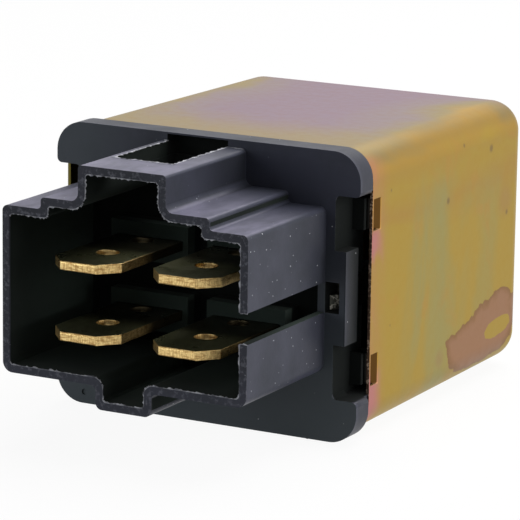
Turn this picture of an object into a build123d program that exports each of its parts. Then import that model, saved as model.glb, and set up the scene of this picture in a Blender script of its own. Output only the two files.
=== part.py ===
"""Four-pin automotive relay in a drawn steel can, lying on its side.

Units are millimetres. X runs to the right seen from the connector mouth, Y runs from the
mouth to the closed end of the can, and Z is up as the relay lies. The sizes below are taken
from the front face of the header's flange (Y = 0) and from the middle of the relay (X = 0,
Z = 0). The last step moves every piece so that the origin is at the middle of the bottom
of the whole relay.
"""
from build123d import *
from math import cos, radians, sin
import os

# Drawn can, which the rest of the relay is set out from
can_width = 28.1
can_height = 24.0
can_draft = 0.27
can_sheet = 0.3
can_round = 2.7
can_end_room = 4.3
can_slot_height = 2.65
can_slot_rise = 0.3
can_slot_margin = 0.21
can_slot_length = 1.33
tongue_length = 0.93
tongue_drop = 0.75
rim_tab_length = 1.85
rim_tab_margin = 0.25

# Flange of the header
flange_side_border = 0.35
flange_top_border = 0.2
flange_thickness = 2.2
flange_corner = 2.5
notch_end_margin = 3.65
notch_depth = 1.2
pocket_depth = 2.25
bar_half_height = 3.95
notch_outer_round = 0.45
notch_inner_round = 0.4
gate_nub_radius = 0.4
gate_nub_height = 0.2
gate_nub_margin = 4.8
dimple_radius = 0.25
dimple_depth = 0.15
dimple_margin_x = 2.7
dimple_margin_z = 1.0

# Spigot behind the flange, inside the can
seat_step = 0.75
spigot_length = 2.15
spigot_clearance = 0.1
ledge_gap = 0.1
ledge_margin = 0.55
catch_margin = 0.4
catch_length = 0.45

# Connector shroud in front of the flange
mouth_depth = 13.1
shroud_left_margin = 2.95
shroud_right_margin = 3.1
shroud_wall = 0.65
shroud_corner = 0.9
shroud_top_round = 0.5
shoulder_half_width = 7.8
shoulder_drop = 3.0
shoulder_step = 1.0
shoulder_round = 0.35
tower_width = 8.1
tower_shift = 0.23
tower_margin = 0.7
tower_round = 0.3
tower_root = 0.7
key_half_width = 2.6
key_margin = 3.77
key_drop = 1.98
key_round = 0.6
key_root = 0.5
inner_chamfer = 0.2
floor_depth = 1.0
side_slot_half_height = 1.28
window_left_rail = 0.62
window_right_rail = 1.7
window_start = 8.95
window_web = 0.15
window_recess = 1.4
boss_margin_x = 0.55
boss_margin_z = 1.25
boss_length = 1.2

# Blades and the strips behind them
blade_width = 6.3
blade_thickness = 0.8
blade_tip = 12.6
blade_pitch_x = 9.24
blade_pitch_z = 5.9
blade_tip_flat = 3.3
blade_tip_chamfer = 1.7
blade_edge_chamfer = 0.12
blade_hole = 1.9
blade_hole_from_tip = 4.75
blade_root_hole_from_tip = 10.2
slot_clearance = 0.04
strip_width = 5.0
strip_bend = 0.9
strip_gap = 0.25
strip_run_drop = 0.45

# Yoke and its two legs
yoke_thickness = 1.2
yoke_gap = 3.2
yoke_side_gap = 0.57
yoke_top_drop = 2.0
yoke_arm_half_height = 1.2
yoke_bend = 0.5
lug_hole_clearance = 0.05
lug_margin = 1.82
lug_end = 0.8
lug_split_depth = 1.3
lug_notch = 0.5
leg_clearance = 0.1
leg_room = 3.0
ear_width = 1.1
ear_length = 1.5
spring_tab_width = 3.0
spring_tab_thickness = 1.0
spring_tab_margin = 0.9
spring_tab_from_end = 10.2

# Bobbin, winding and core
coil_top_room = 0.75
bobbin_half_width = 6.6
bobbin_corner = 1.0
bobbin_flange = 1.3
bobbin_length = 17.3
barrel_wall = 0.65
barrel_bore_clearance = 0.05
ear_wall = 1.03
ear_half_height = 1.5
winding_margin = 0.5
winding_depth = 1.9
winding_clearance = 0.02
winding_chamfer_share = 0.25
core_tenon_step = 1.0
core_rivet_step = 0.6
core_rivet_height = 0.5
pole_step = 1.3
pole_thickness = 1.2
coil_tail_width = 1.6
coil_tail_inset = 0.1
coil_tail_beyond = 2.2
lead_radius = 0.15
lead_gap = 0.05
wire_sides = 6
wrap_thickness = 0.3
wrap_length = 1.0
wrap_gap = 0.15
rest_width = 5.0
rest_length = 1.0

# Suppression resistor across the coil
resistor_radius = 1.1
resistor_length = 6.6
resistor_cap = 1.1
resistor_waist = 0.12
resistor_drop = 1.65
resistor_lead_radius = 0.3
resistor_bend = 0.7

# Armature, its contact spring and the contacts
armature_half_width = 6.0
armature_thickness = 1.2
armature_top_drop = 1.3
armature_corner = 1.2
neck_clearance = 0.2
neck_margin = 0.6
tail_half_width = 2.0
tail_margin = 1.1
pole_gap = 0.05
open_angle = 3.2
leaf_thickness = 0.25
leaf_half_width = 2.3
leaf_low_margin = 1.3
leaf_neck_height = 1.4
leaf_horn = 6.6
leaf_horn_drop = 1.0
leaf_horn_height = 2.6
leaf_finger_half_width = 1.9
leaf_round = 0.5
leaf_end_margin = 1.7
rivet_radius = 0.8
rivet_head_radius = 1.4
rivet_head_height = 0.45
rivet_low = 2.4
rivet_high = 2.2
contact_room = 2.2
contact_radius = 1.5
contact_head = 0.8
contact_shank_radius = 0.75
contact_tail_radius = 1.1
contact_tail_height = 0.35
contact_gap_closed = 0.03
contact_bevel = 0.2

# Return spring and its hooks
spring_radius = 0.8
spring_wire_radius = 0.16
spring_drop = 1.3
spring_turns = 4
spring_wire_sides = 4
spring_end_gap = 0.6
spoke_share = 0.97
hook_length = 0.7
hook_slot_clearance = 0.12

# Stop strip for the armature and the braid to the contact spring
stop_thickness = 0.8
stop_offset = 8.6
stop_reach = 3.4
stop_drop = 1.8
stop_height = 2.8
stop_gap = 0.03
stop_bend = 0.9
braid_width = 1.8
braid_thickness = 0.7
braid_bend = 2.0
braid_rise = 1.0
braid_gap = 0.05

# One overrun for every cut that runs past a face
overrun = 1.0

# Places on the can and on the header's front
flange_width = can_width + 2 * flange_side_border
flange_height = can_height + 2 * flange_top_border
flange_half_width = flange_width / 2
flange_half_height = flange_height / 2
notch_half_height = flange_half_height - notch_end_margin
can_start = flange_thickness + seat_step
spigot_end = can_start + spigot_length
can_inner_width = can_width - 2 * can_sheet
can_inner_height = can_height - 2 * can_sheet
channel_floor = flange_half_width - pocket_depth
can_slot_centre = (bar_half_height + notch_half_height) / 2 + can_slot_rise
can_slot_start = can_start + can_slot_margin
can_slot_end = can_slot_start + can_slot_length
shroud_left = flange_half_width - shroud_left_margin
shroud_right = flange_half_width - shroud_right_margin
tower_top = flange_half_height - tower_margin
shoulder_top = tower_top - shoulder_drop
shroud_top = shoulder_top - shoulder_step
key_bottom = flange_half_height - key_margin
shroud_bottom = key_bottom - key_drop
tower_left = -tower_width / 2 - tower_shift
tower_right = tower_width / 2 - tower_shift
blade_x = blade_pitch_x / 2
blade_z = blade_pitch_z / 2

# Places across the can, from its upper and lower walls inwards and beside the coil
can_room = can_inner_height / 2 - can_draft
contact_height = can_room - contact_room
strip_run_z = contact_height - contact_tail_radius - blade_thickness - strip_run_drop
leg_outer = leg_room - can_room
leg_inner = leg_outer + yoke_thickness
bobbin_half_height = (strip_run_z - coil_top_room - leg_inner - leg_clearance) / 2
coil_z = leg_inner + leg_clearance + bobbin_half_height
coil_tail_x = blade_x + blade_width / 2 - coil_tail_inset - coil_tail_width / 2
coil_tail_inner = coil_tail_x - coil_tail_width / 2
yoke_half_width = coil_tail_inner - yoke_side_gap
winding_radius = min(coil_tail_inner - wrap_thickness - wrap_gap, bobbin_half_height - winding_margin)
barrel_radius = winding_radius - winding_depth
core_radius = barrel_radius - barrel_wall - barrel_bore_clearance
core_tenon_radius = core_radius - core_tenon_step
core_rivet_radius = core_tenon_radius + core_rivet_step
pole_radius = core_radius + pole_step
leaf_horn_top = contact_height - leaf_horn_drop
leaf_shoulder = leaf_horn_top - leaf_horn_height
stop_high = contact_height - stop_drop
stop_low = stop_high - stop_height
spring_z = leg_outer - spring_drop
spring_tab_end = spring_z - spring_tab_margin
tail_end = spring_z - tail_margin

# Places along the relay, from the header to the closed end
yoke_start = spigot_end + yoke_gap
yoke_end = yoke_start + yoke_thickness
bobbin_end = yoke_end + bobbin_length
pole_face = bobbin_end + pole_thickness
leaf_y = pole_face + pole_gap + armature_thickness
can_end = leaf_y + can_end_room
hinge = (0, pole_face, leg_outer)
lug_outer = flange_half_width - lug_margin
coil_tail_end = yoke_end + bobbin_flange + coil_tail_beyond
strip_face = leaf_y - contact_head - contact_gap_closed - contact_head
tab_y = pole_face - spring_tab_from_end


def prism(profile, y_start, y_end):
    """Extrude a profile drawn in X and Z from one Y to another."""
    plane = Plane(origin=(0, y_end, 0), x_dir=(1, 0, 0), z_dir=(0, -1, 0))
    return extrude(plane * profile, amount=y_end - y_start)


def block(x_low, x_high, y_low, y_high, z_low, z_high):
    """Return a block between two corners."""
    size = (x_high - x_low, y_high - y_low, z_high - z_low)
    middle = ((x_low + x_high) / 2, (y_low + y_high) / 2, (z_low + z_high) / 2)
    return Pos(*middle) * Box(*size)


def rod(radius, y_start, y_end, x=0, z=0):
    """Return a round bar along Y."""
    return prism(Pos(x, z) * Circle(radius), y_start, y_end)


def nearest_corners(profile, points):
    """Corners of a flat profile that lie nearest to the given points."""
    return [min(profile.vertices(), key=lambda v: (Vector(*v) - Vector(*p)).length) for p in points]


def round_corners(profile, points, radius):
    """Round the corners of a flat profile that lie nearest to the given points."""
    return fillet(nearest_corners(profile, points), radius)


def open_pose(piece):
    """Turn a piece of the closed armature back to its rest place, away from the pole."""
    return Pos(*hinge) * Rot(-open_angle, 0, 0) * Pos(-hinge[0], -hinge[1], -hinge[2]) * piece


def open_point(y, z):
    """Y and Z of a point of the closed armature after it has swung open."""
    turn = radians(-open_angle)
    dy = y - hinge[1]
    dz = z - hinge[2]
    return hinge[1] + dy * cos(turn) - dz * sin(turn), hinge[2] + dy * sin(turn) + dz * cos(turn)


# Header: flange, spigot and connector shroud moulded in one


def flange_profile():
    """Flange plate with its side notches: two pockets and a bar between them on each side."""
    profile = RectangleRounded(flange_width, flange_height, flange_corner)
    for side in (-1, 1):
        bar_face = flange_half_width - notch_depth / 2 + overrun / 2
        profile -= Pos(side * bar_face, 0) * Rectangle(notch_depth + overrun, 2 * notch_half_height)
        pocket_height = notch_half_height - bar_half_height
        for up in (-1, 1):
            place = Pos(side * (channel_floor + pocket_depth / 2 + overrun / 2),
                        up * (bar_half_height + notch_half_height) / 2)
            profile -= place * Rectangle(pocket_depth + overrun, pocket_height)
    outer = [(sx * flange_half_width, sz * notch_half_height, 0) for sx in (-1, 1) for sz in (-1, 1)]
    inner = [(sx * channel_floor, sz * notch_half_height, 0) for sx in (-1, 1) for sz in (-1, 1)]
    profile = round_corners(profile, outer, notch_outer_round)
    return round_corners(profile, inner, notch_inner_round)


def side_channels(profile):
    """Cut the open channels behind the side notches out of a spigot profile."""
    for side in (-1, 1):
        place = Pos(side * (channel_floor + pocket_depth / 2), 0)
        profile -= place * Rectangle(pocket_depth, 2 * notch_half_height)
    return profile


def shroud_profile(inset):
    """Outline of the shroud with its shoulders, tower and key, or the same set in by a wall."""
    left = tower_left + inset
    right = tower_right - inset
    bottom = -shroud_bottom + inset
    body_left = -shroud_left + inset
    body_right = shroud_right - inset
    shoulder_half = shoulder_half_width - inset
    key_half = key_half_width - inset
    low_top = shroud_top - inset
    high_top = shoulder_top - inset
    peak = tower_top - inset
    foot = -key_bottom + inset

    def plate(x_low, x_high, z_low, z_high):
        return Pos((x_low + x_high) / 2, (z_low + z_high) / 2) * Rectangle(x_high - x_low, z_high - z_low)

    profile = plate(body_left, body_right, bottom, low_top)
    profile += plate(-shoulder_half, shoulder_half, bottom, high_top)
    profile += plate(left, right, bottom, peak)
    profile += plate(-key_half, key_half, foot, high_top)
    outward = [
        ([(body_left, bottom, 0), (body_right, bottom, 0)], shroud_corner),
        ([(body_left, low_top, 0), (body_right, low_top, 0)], shroud_top_round),
        ([(-shoulder_half, high_top, 0), (shoulder_half, high_top, 0)], shoulder_round),
        ([(left, peak, 0), (right, peak, 0)], tower_round),
        ([(-key_half, foot, 0), (key_half, foot, 0)], key_round),
    ]
    for corners, radius in outward:
        if inset:
            profile = chamfer(nearest_corners(profile, corners), inner_chamfer)
        else:
            profile = fillet(nearest_corners(profile, corners), radius)
    inward = [
        ([(-shoulder_half, low_top, 0), (shoulder_half, low_top, 0)], shoulder_round),
        ([(left, high_top, 0), (right, high_top, 0)], tower_root + inset),
        ([(-key_half, bottom, 0), (key_half, bottom, 0)], key_root + inset / 2),
    ]
    for corners, radius in inward:
        profile = fillet(nearest_corners(profile, corners), radius)
    return profile


def make_header():
    """Moulded header that carries the blades and closes the can."""
    lip_width = can_inner_width + can_sheet
    lip_height = can_inner_height + can_sheet
    body = prism(flange_profile(), 0, flange_thickness)
    lip = RectangleRounded(lip_width, lip_height, can_round - can_sheet / 2)
    body += prism(side_channels(lip), flange_thickness, can_start)
    spigot = RectangleRounded(
        can_inner_width - 2 * spigot_clearance,
        can_inner_height - 2 * spigot_clearance,
        can_round - can_sheet - spigot_clearance,
    )
    body += prism(side_channels(spigot), can_start, spigot_end)
    body += prism(shroud_profile(0), -mouth_depth, 0)
    body -= prism(shroud_profile(shroud_wall), -mouth_depth - overrun, floor_depth)
    # Bosses round the blade roots, inside the shroud
    for x in (-blade_x, blade_x):
        for z in (-blade_z, blade_z):
            boss = Rectangle(blade_width + 2 * boss_margin_x, blade_thickness + 2 * boss_margin_z)
            body += prism(Pos(x, z) * boss, -boss_length, floor_depth)
            slot = Rectangle(blade_width + 2 * slot_clearance, blade_thickness + 2 * slot_clearance)
            body -= prism(Pos(x, z) * slot, -boss_length - overrun, spigot_end + overrun)
    # Window in the top of the tower and the recess it runs into
    tower_roof = tower_top - 2 * shroud_wall
    window = (tower_left + window_left_rail, tower_right - window_right_rail)
    body -= block(*window, -window_start, 0, tower_roof, tower_top + overrun)
    body -= block(*window, 0, window_recess, tower_roof, flange_half_height - window_web)
    # Slot along the right wall
    wall_inside = shroud_right - shroud_wall - overrun
    body -= block(wall_inside, shroud_right + overrun, -mouth_depth - overrun, 0,
                  -side_slot_half_height, side_slot_half_height)
    # Holes for the two lugs of the yoke
    for side in (-1, 1):
        lug = Rectangle(
            yoke_thickness + 2 * lug_hole_clearance,
            2 * yoke_arm_half_height + 4 * lug_hole_clearance,
        )
        place = Pos(side * (lug_outer - yoke_thickness / 2), 0)
        body -= prism(place * lug, -overrun, spigot_end + overrun)
        # Pockets that the tongues of the can are staked into: a ledge in front, a catch behind
        for up in (-1, 1):
            root = side * (channel_floor - ledge_gap)
            ledge_top = side * (can_inner_width / 2 - ledge_margin)
            ledge_end = can_slot_end - tongue_length - ledge_gap
            z_low = up * can_slot_centre - can_slot_height / 2
            z_high = z_low + can_slot_height
            body += block(*sorted((root, ledge_top)), can_start + ledge_gap, ledge_end, z_low, z_high)
            catch_top = side * (can_inner_width / 2 - catch_margin)
            body += block(*sorted((root, catch_top)), spigot_end - catch_length, spigot_end, z_low, z_high)
    # Gate nub under the flange and the ejector dimple in its front face
    nub_x = flange_half_width - gate_nub_margin
    nub_z = gate_nub_radius - gate_nub_height - flange_half_height
    body += rod(gate_nub_radius, flange_thickness / 4, flange_thickness / 2, nub_x, nub_z)
    dimple_x = dimple_margin_x - flange_half_width
    dimple_z = dimple_margin_z - flange_half_height
    return body - rod(dimple_radius, -dimple_depth, dimple_depth, dimple_x, dimple_z)


# Drawn can with its four lanced tongues


def can_shell(width, height, end, corner):
    """Rounded block that gets a little lower towards its rounded closed end."""
    side_profile = Polyline(
        (can_start, -height / 2),
        (end, can_draft - height / 2),
        (end, height / 2 - can_draft),
        (can_start, height / 2),
        close=True,
    )
    shell = extrude(Plane.YZ * make_face(side_profile), amount=width / 2, both=True)
    return fillet(shell.edges().group_by(Axis.Y)[1:], corner)


def make_can():
    """Thin can, open at the header, with tongues in each side wall and a rim tab on the left."""
    outer = can_shell(can_width, can_height, can_end, can_round)
    inner = can_shell(can_inner_width, can_inner_height, can_end - can_sheet, can_round - can_sheet)
    body = outer - inner
    half = can_width / 2
    for side in (-1, 1):
        for up in (-1, 1):
            z_low = up * can_slot_centre - can_slot_height / 2
            z_high = z_low + can_slot_height
            x_pair = sorted((side * (half - 2 * can_sheet), side * (half + can_sheet)))
            body -= block(*x_pair, can_slot_start, can_slot_end, z_low, z_high)
            free_end = can_slot_end - tongue_length
            tongue = Polyline(
                (side * half, can_slot_end),
                (side * (half - can_sheet), can_slot_end),
                (side * (half - can_sheet - tongue_drop), free_end),
                (side * (half - tongue_drop), free_end),
                close=True,
            )
            body += Pos(0, 0, z_low) * extrude(make_face(tongue), amount=can_slot_height, dir=(0, 0, 1))
    tab_half = notch_half_height - rim_tab_margin
    rim_tab = block(-half, can_sheet - half, can_start - rim_tab_length, can_slot_start, -tab_half, tab_half)
    return body + rim_tab


# Blades


def make_blade(x, z, end):
    """Flat blade with a chamfered tip and two holes, from its tip back to the given Y."""
    half = blade_width / 2
    half_flat = blade_tip_flat / 2
    outline = Polyline(
        (-half, end),
        (-half, -blade_tip + blade_tip_chamfer),
        (-half_flat, -blade_tip),
        (half_flat, -blade_tip),
        (half, -blade_tip + blade_tip_chamfer),
        (half, end),
        close=True,
    )
    body = extrude(make_face(outline), amount=blade_thickness / 2, both=True)
    ends = body.edges().filter_by_position(Axis.Y, -blade_tip - overrun, -blade_tip + overrun / 2)
    body = chamfer(ends.filter_by(Plane.XY), blade_edge_chamfer)
    for from_tip in (blade_hole_from_tip, blade_root_hole_from_tip):
        body -= Pos(0, from_tip - blade_tip, 0) * Cylinder(blade_hole / 2, 2 * blade_thickness)
    return Pos(x, 0, z) * body


def bent_strip(points, bend, width, thickness, x):
    """Bend a strip along points given in Y and Z, centred on the given X."""
    path = FilletPolyline(*points, radius=bend)
    section = trace(path, line_width=thickness)
    return Pos(x, 0, 0) * extrude(Plane.YZ * section, amount=width / 2, both=True)


def make_load_terminal():
    """Upper right blade, whose strip rises over the coil to the fixed contact."""
    jog_y = spigot_end + strip_gap + blade_thickness / 2
    run_z = strip_run_z + blade_thickness / 2
    end_y = strip_face - blade_thickness / 2
    points = [
        (spigot_end - blade_thickness, blade_z),
        (jog_y, blade_z),
        (jog_y, run_z),
        (end_y, run_z),
        (end_y, contact_height + leaf_end_margin),
    ]
    body = make_blade(blade_x, blade_z, spigot_end - blade_thickness)
    body += bent_strip(points, strip_bend, strip_width, blade_thickness, blade_x)
    hole = rod(contact_shank_radius, end_y - blade_thickness, end_y + blade_thickness, blade_x, contact_height)
    return body - hole


def make_common_terminal():
    """Upper left blade, whose short strip takes the braid."""
    jog_y = spigot_end + strip_gap + blade_thickness / 2
    run_z = strip_run_z + blade_thickness / 2
    points = [
        (spigot_end - blade_thickness, blade_z),
        (jog_y, blade_z),
        (jog_y, run_z),
        (yoke_end + bobbin_flange, run_z),
    ]
    body = make_blade(-blade_x, blade_z, spigot_end - blade_thickness)
    return body + bent_strip(points, strip_bend, strip_width, blade_thickness, -blade_x)


def make_coil_terminal(side):
    """Lower blade with a narrow tail that stands in the bobbin and takes the coil wire."""
    body = make_blade(side * blade_x, -blade_z, spigot_end + strip_gap)
    x_low = side * coil_tail_x - coil_tail_width / 2
    tail = block(x_low, x_low + coil_tail_width, spigot_end, coil_tail_end,
                 -blade_z - blade_thickness / 2, -blade_z + blade_thickness / 2)
    return body + tail


# Magnet: yoke, core, bobbin and winding


def make_yoke():
    """L-shaped steel yoke: base leg with two lugs, and a long leg that the armature hangs on."""
    top = coil_z + bobbin_half_height - yoke_top_drop
    base = Pos(0, (top + leg_outer) / 2) * Rectangle(2 * yoke_half_width, top - leg_outer)
    body = prism(base, yoke_start, yoke_end)
    body += block(-yoke_half_width, yoke_half_width, yoke_start, pole_face, leg_outer, leg_inner)
    outer_bend = body.edges().filter_by(Axis.X).sort_by_distance((0, yoke_start, leg_outer))[0]
    body = fillet(outer_bend, yoke_bend + yoke_thickness / 2)
    for side in (-1, 1):
        arm_end = side * lug_outer
        arm = block(*sorted((0, arm_end)), yoke_start, yoke_end,
                    -yoke_arm_half_height, yoke_arm_half_height)
        lug = block(*sorted((arm_end - side * yoke_thickness, arm_end)), lug_end, yoke_end,
                    -yoke_arm_half_height, yoke_arm_half_height)
        arm += lug
        corner = arm.edges().filter_by(Axis.Z).sort_by_distance((arm_end, yoke_end, 0))[0]
        arm = fillet(corner, yoke_bend)
        # Upper half of the lug is cut back and the lower half is split by the staking chisel
        arm -= block(*sorted((arm_end - side * 2 * yoke_thickness, arm_end + side * overrun)),
                     lug_end - overrun, lug_end + lug_split_depth, 0, 2 * yoke_arm_half_height)
        chisel = Polyline(
            (arm_end - side * yoke_thickness, lug_end),
            (arm_end, lug_end),
            (arm_end - side * yoke_thickness / 2, lug_end + lug_notch),
            close=True,
        )
        low = Pos(0, 0, -yoke_arm_half_height - overrun)
        arm -= low * extrude(make_face(chisel), amount=yoke_arm_half_height + overrun, dir=(0, 0, 1))
        ear = sorted((side * (yoke_half_width - ear_width), side * yoke_half_width))
        body += arm
        body += block(*ear, pole_face, pole_face + ear_length, leg_outer, leg_inner)
    body -= rod(core_tenon_radius, yoke_start - overrun, yoke_end + overrun, z=coil_z)
    # Tab for the return spring, with a slot for its hook
    tab = block(-spring_tab_width / 2, spring_tab_width / 2, tab_y - spring_tab_thickness, tab_y,
                spring_tab_end, leg_outer)
    body += tab
    slot = spring_wire_radius + hook_slot_clearance
    body -= block(-slot, slot, tab_y - 2 * spring_tab_thickness, tab_y + overrun / 2,
                  spring_tab_end - overrun, spring_z + slot)
    return body


def make_core():
    """Turned core with a tenon riveted through the yoke and a wide pole at the other end."""
    profile = Polyline(
        (0, yoke_start - core_rivet_height),
        (core_rivet_radius, yoke_start - core_rivet_height),
        (core_rivet_radius, yoke_start),
        (core_tenon_radius, yoke_start),
        (core_tenon_radius, yoke_end),
        (core_radius, yoke_end),
        (core_radius, bobbin_end),
        (pole_radius, bobbin_end),
        (pole_radius, pole_face),
        (0, pole_face),
        close=True,
    )
    return Pos(0, 0, coil_z) * revolve(make_face(profile), axis=Axis.Y)


def make_bobbin():
    """Moulded bobbin: two square cheeks, a barrel, ears for the coil tails and a strip rest."""
    cheek = Pos(0, coil_z) * RectangleRounded(2 * bobbin_half_width, 2 * bobbin_half_height, bobbin_corner)
    ear_reach = coil_tail_x + coil_tail_width / 2 + ear_wall
    body = rod(barrel_radius, yoke_end, bobbin_end, z=coil_z)
    body += prism(cheek, yoke_end, yoke_end + bobbin_flange)
    body += prism(cheek, bobbin_end - bobbin_flange, bobbin_end)
    body += block(-ear_reach, ear_reach, yoke_end, yoke_end + bobbin_flange,
                  -blade_z - ear_half_height, -blade_z + ear_half_height)
    for side in (-1, 1):
        slot = Rectangle(coil_tail_width + 2 * slot_clearance, blade_thickness + 2 * slot_clearance)
        body -= prism(Pos(side * coil_tail_x, -blade_z) * slot, yoke_end - overrun, yoke_end + 2 * bobbin_flange)
    rest_low = coil_z + bobbin_half_height - bobbin_flange
    body += block(blade_x - rest_width / 2, blade_x + rest_width / 2, bobbin_end - rest_length, bobbin_end,
                  rest_low, strip_run_z)
    # Socket that holds the stop strip beside the far cheek
    socket_low = -stop_offset - stop_thickness
    socket = block(socket_low, -bobbin_half_width + bobbin_flange, bobbin_end - bobbin_flange, bobbin_end,
                   stop_low - stop_thickness, stop_high - stop_thickness)
    cheek_fill = block(-bobbin_half_width, -bobbin_half_width + bobbin_corner + bobbin_flange,
                       bobbin_end - bobbin_flange, bobbin_end,
                       stop_low - stop_thickness, coil_z + bobbin_half_height)
    body += socket + cheek_fill
    stop_slot = Rectangle(stop_thickness + 2 * slot_clearance, stop_high - stop_low + overrun)
    body -= prism(Pos(-stop_offset, (stop_low + stop_high) / 2 + overrun / 2) * stop_slot,
                  bobbin_end - 2 * bobbin_flange, bobbin_end + overrun)
    body -= rod(core_radius + barrel_bore_clearance, yoke_end - overrun, bobbin_end + overrun, z=coil_z)
    return body


def make_winding():
    """Enamelled winding as one closed body with rounded ends."""
    start = yoke_end + bobbin_flange + winding_clearance
    end = bobbin_end - bobbin_flange - winding_clearance
    inside = barrel_radius + winding_clearance
    profile = Pos((inside + winding_radius) / 2, (start + end) / 2) * Rectangle(
        winding_radius - inside, end - start)
    outer = profile.vertices().group_by(Axis.X)[-1]
    profile = chamfer(outer, winding_chamfer_share * (winding_radius - inside))
    return Pos(0, 0, coil_z) * revolve(profile, axis=Axis.Y)


def make_coil_lead(side):
    """End of the coil wire: a wrap on the terminal's tail and a straight run to the winding."""
    wrap_y = coil_tail_end - 2 * wrap_length
    hole = Rectangle(coil_tail_width + 2 * slot_clearance, blade_thickness + 2 * slot_clearance)
    ring = offset(hole, amount=wrap_thickness, kind=Kind.INTERSECTION)
    body = prism(Pos(side * coil_tail_x, -blade_z) * (ring - hole), wrap_y, wrap_y + wrap_length)
    height = abs(-blade_z - coil_z) - lead_radius
    winding_edge = (winding_radius ** 2 - height ** 2) ** 0.5
    lead_y = wrap_y + wrap_length / 2
    start = side * (coil_tail_x - coil_tail_width / 2 - slot_clearance - wrap_thickness / 2)
    end = side * (winding_edge + lead_gap)
    plane = Plane(origin=(min(start, end), lead_y, -blade_z), z_dir=(1, 0, 0))
    return body + extrude(plane * RegularPolygon(lead_radius, wire_sides), amount=abs(start - end))


def make_resistor():
    """Suppression resistor: capped body and two bent leads soldered to the coil tails."""
    y = spigot_end + yoke_gap / 2
    z = -blade_z - blade_thickness / 2 - resistor_drop
    half = resistor_length / 2
    waist = resistor_radius - resistor_waist
    profile = Polyline(
        (0, -half),
        (resistor_radius, -half),
        (resistor_radius, -half + resistor_cap),
        (waist, -half + resistor_cap),
        (waist, half - resistor_cap),
        (resistor_radius, half - resistor_cap),
        (resistor_radius, half),
        (0, half),
        close=True,
    )
    body = Pos(0, y, z) * Rot(0, 0, 90) * revolve(make_face(profile), axis=Axis.Y)
    lead_top = -blade_z - blade_thickness / 2
    for side in (-1, 1):
        path = FilletPolyline(
            (side * (half - resistor_cap), y, z),
            (side * coil_tail_x, y, z),
            (side * coil_tail_x, y, lead_top),
            radius=resistor_bend,
        )
        section = Plane(origin=path @ 0, z_dir=path % 0) * RegularPolygon(resistor_lead_radius, wire_sides)
        body += sweep(section, path=path)
    return body


# Moving armature and its pieces, drawn closed and then swung open


def make_armature():
    """Flat steel armature with a neck between the yoke's ears and a tail for the spring."""
    top = coil_z + bobbin_half_height - armature_top_drop
    low = leg_outer - neck_margin
    neck_top = leg_inner + neck_margin
    neck_half = yoke_half_width - ear_width - neck_clearance
    plate = Pos(0, (top + low) / 2) * Rectangle(2 * armature_half_width, top - low)
    corners = [(-armature_half_width, top, 0), (armature_half_width, top, 0)]
    plate = round_corners(plate, corners, armature_corner)
    for side in (-1, 1):
        cut_width = armature_half_width - neck_half + overrun
        place = Pos(side * (neck_half + cut_width / 2), (neck_top + low - overrun) / 2)
        plate -= place * Rectangle(cut_width, neck_top - low + overrun)
    plate += Pos(0, (low + tail_end) / 2) * Rectangle(2 * tail_half_width, low - tail_end)
    slot = spring_wire_radius + hook_slot_clearance
    slot_top = spring_z + slot
    plate -= Pos(0, (slot_top + tail_end - overrun) / 2) * Rectangle(2 * slot, slot_top - tail_end + overrun)
    for z in (coil_z - rivet_low, coil_z + rivet_high):
        plate -= Pos(0, z) * Circle(rivet_radius)
    start = pole_face + pole_gap
    return open_pose(prism(plate, start, start + armature_thickness))


def make_contact_spring():
    """Leaf spring on the armature with a finger for the contact and a horn for the braid."""
    leaf_low = coil_z - rivet_low - leaf_low_margin
    leaf_neck = leaf_shoulder - leaf_neck_height
    finger_left = blade_x - leaf_finger_half_width
    finger_right = blade_x + leaf_finger_half_width
    top = contact_height + leaf_end_margin
    outline = Polyline(
        (-leaf_half_width, leaf_low),
        (leaf_half_width, leaf_low),
        (leaf_half_width, leaf_neck),
        (finger_right, leaf_shoulder),
        (finger_right, top),
        (finger_left, top),
        (finger_left, leaf_horn_top),
        (-leaf_horn, leaf_horn_top),
        (-leaf_horn, leaf_shoulder),
        (-leaf_half_width, leaf_neck),
        close=True,
    )
    plate = make_face(outline)
    rounded = [
        (finger_right, top, 0),
        (finger_left, top, 0),
        (-leaf_horn, leaf_horn_top, 0),
        (-leaf_horn, leaf_shoulder, 0),
        (-leaf_half_width, leaf_low, 0),
        (leaf_half_width, leaf_low, 0),
    ]
    plate = round_corners(plate, rounded, leaf_round)
    for z in (coil_z - rivet_low, coil_z + rivet_high):
        plate -= Pos(0, z) * Circle(rivet_radius)
    plate -= Pos(blade_x, contact_height) * Circle(contact_shank_radius)
    return open_pose(prism(plate, leaf_y, leaf_y + leaf_thickness))


def make_armature_rivets():
    """Two rivets that hold the leaf spring to the armature."""
    start = pole_face + pole_gap
    end = leaf_y + leaf_thickness
    body = []
    for z in (coil_z - rivet_low, coil_z + rivet_high):
        shank = rod(rivet_radius, start + pole_gap, end, z=z)
        body.append(open_pose(shank + rod(rivet_head_radius, end, end + rivet_head_height, z=z)))
    return Compound(body)


def contact_rivet(face_y, seat_y, tail_y, tail_height):
    """Contact rivet with a bevelled head at one end and a flat tail at the other."""
    toward = 1 if seat_y > face_y else -1
    end_y = tail_y + toward * tail_height
    profile = Polyline(
        (0, face_y),
        (contact_radius - contact_bevel, face_y),
        (contact_radius, face_y + toward * contact_bevel),
        (contact_radius, seat_y),
        (contact_shank_radius, seat_y),
        (contact_shank_radius, tail_y),
        (contact_tail_radius, tail_y),
        (contact_tail_radius, end_y),
        (0, end_y),
        close=True,
    )
    return Pos(blade_x, 0, contact_height) * revolve(make_face(profile), axis=Axis.Y)


def make_moving_contact():
    """Contact rivet in the finger of the leaf spring."""
    face = leaf_y - contact_head
    return open_pose(contact_rivet(face, leaf_y, leaf_y + leaf_thickness, contact_tail_height))


def make_fixed_contact():
    """Contact rivet in the upright end of the load terminal."""
    return contact_rivet(strip_face + contact_head, strip_face, strip_face - blade_thickness, contact_tail_height)


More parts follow.
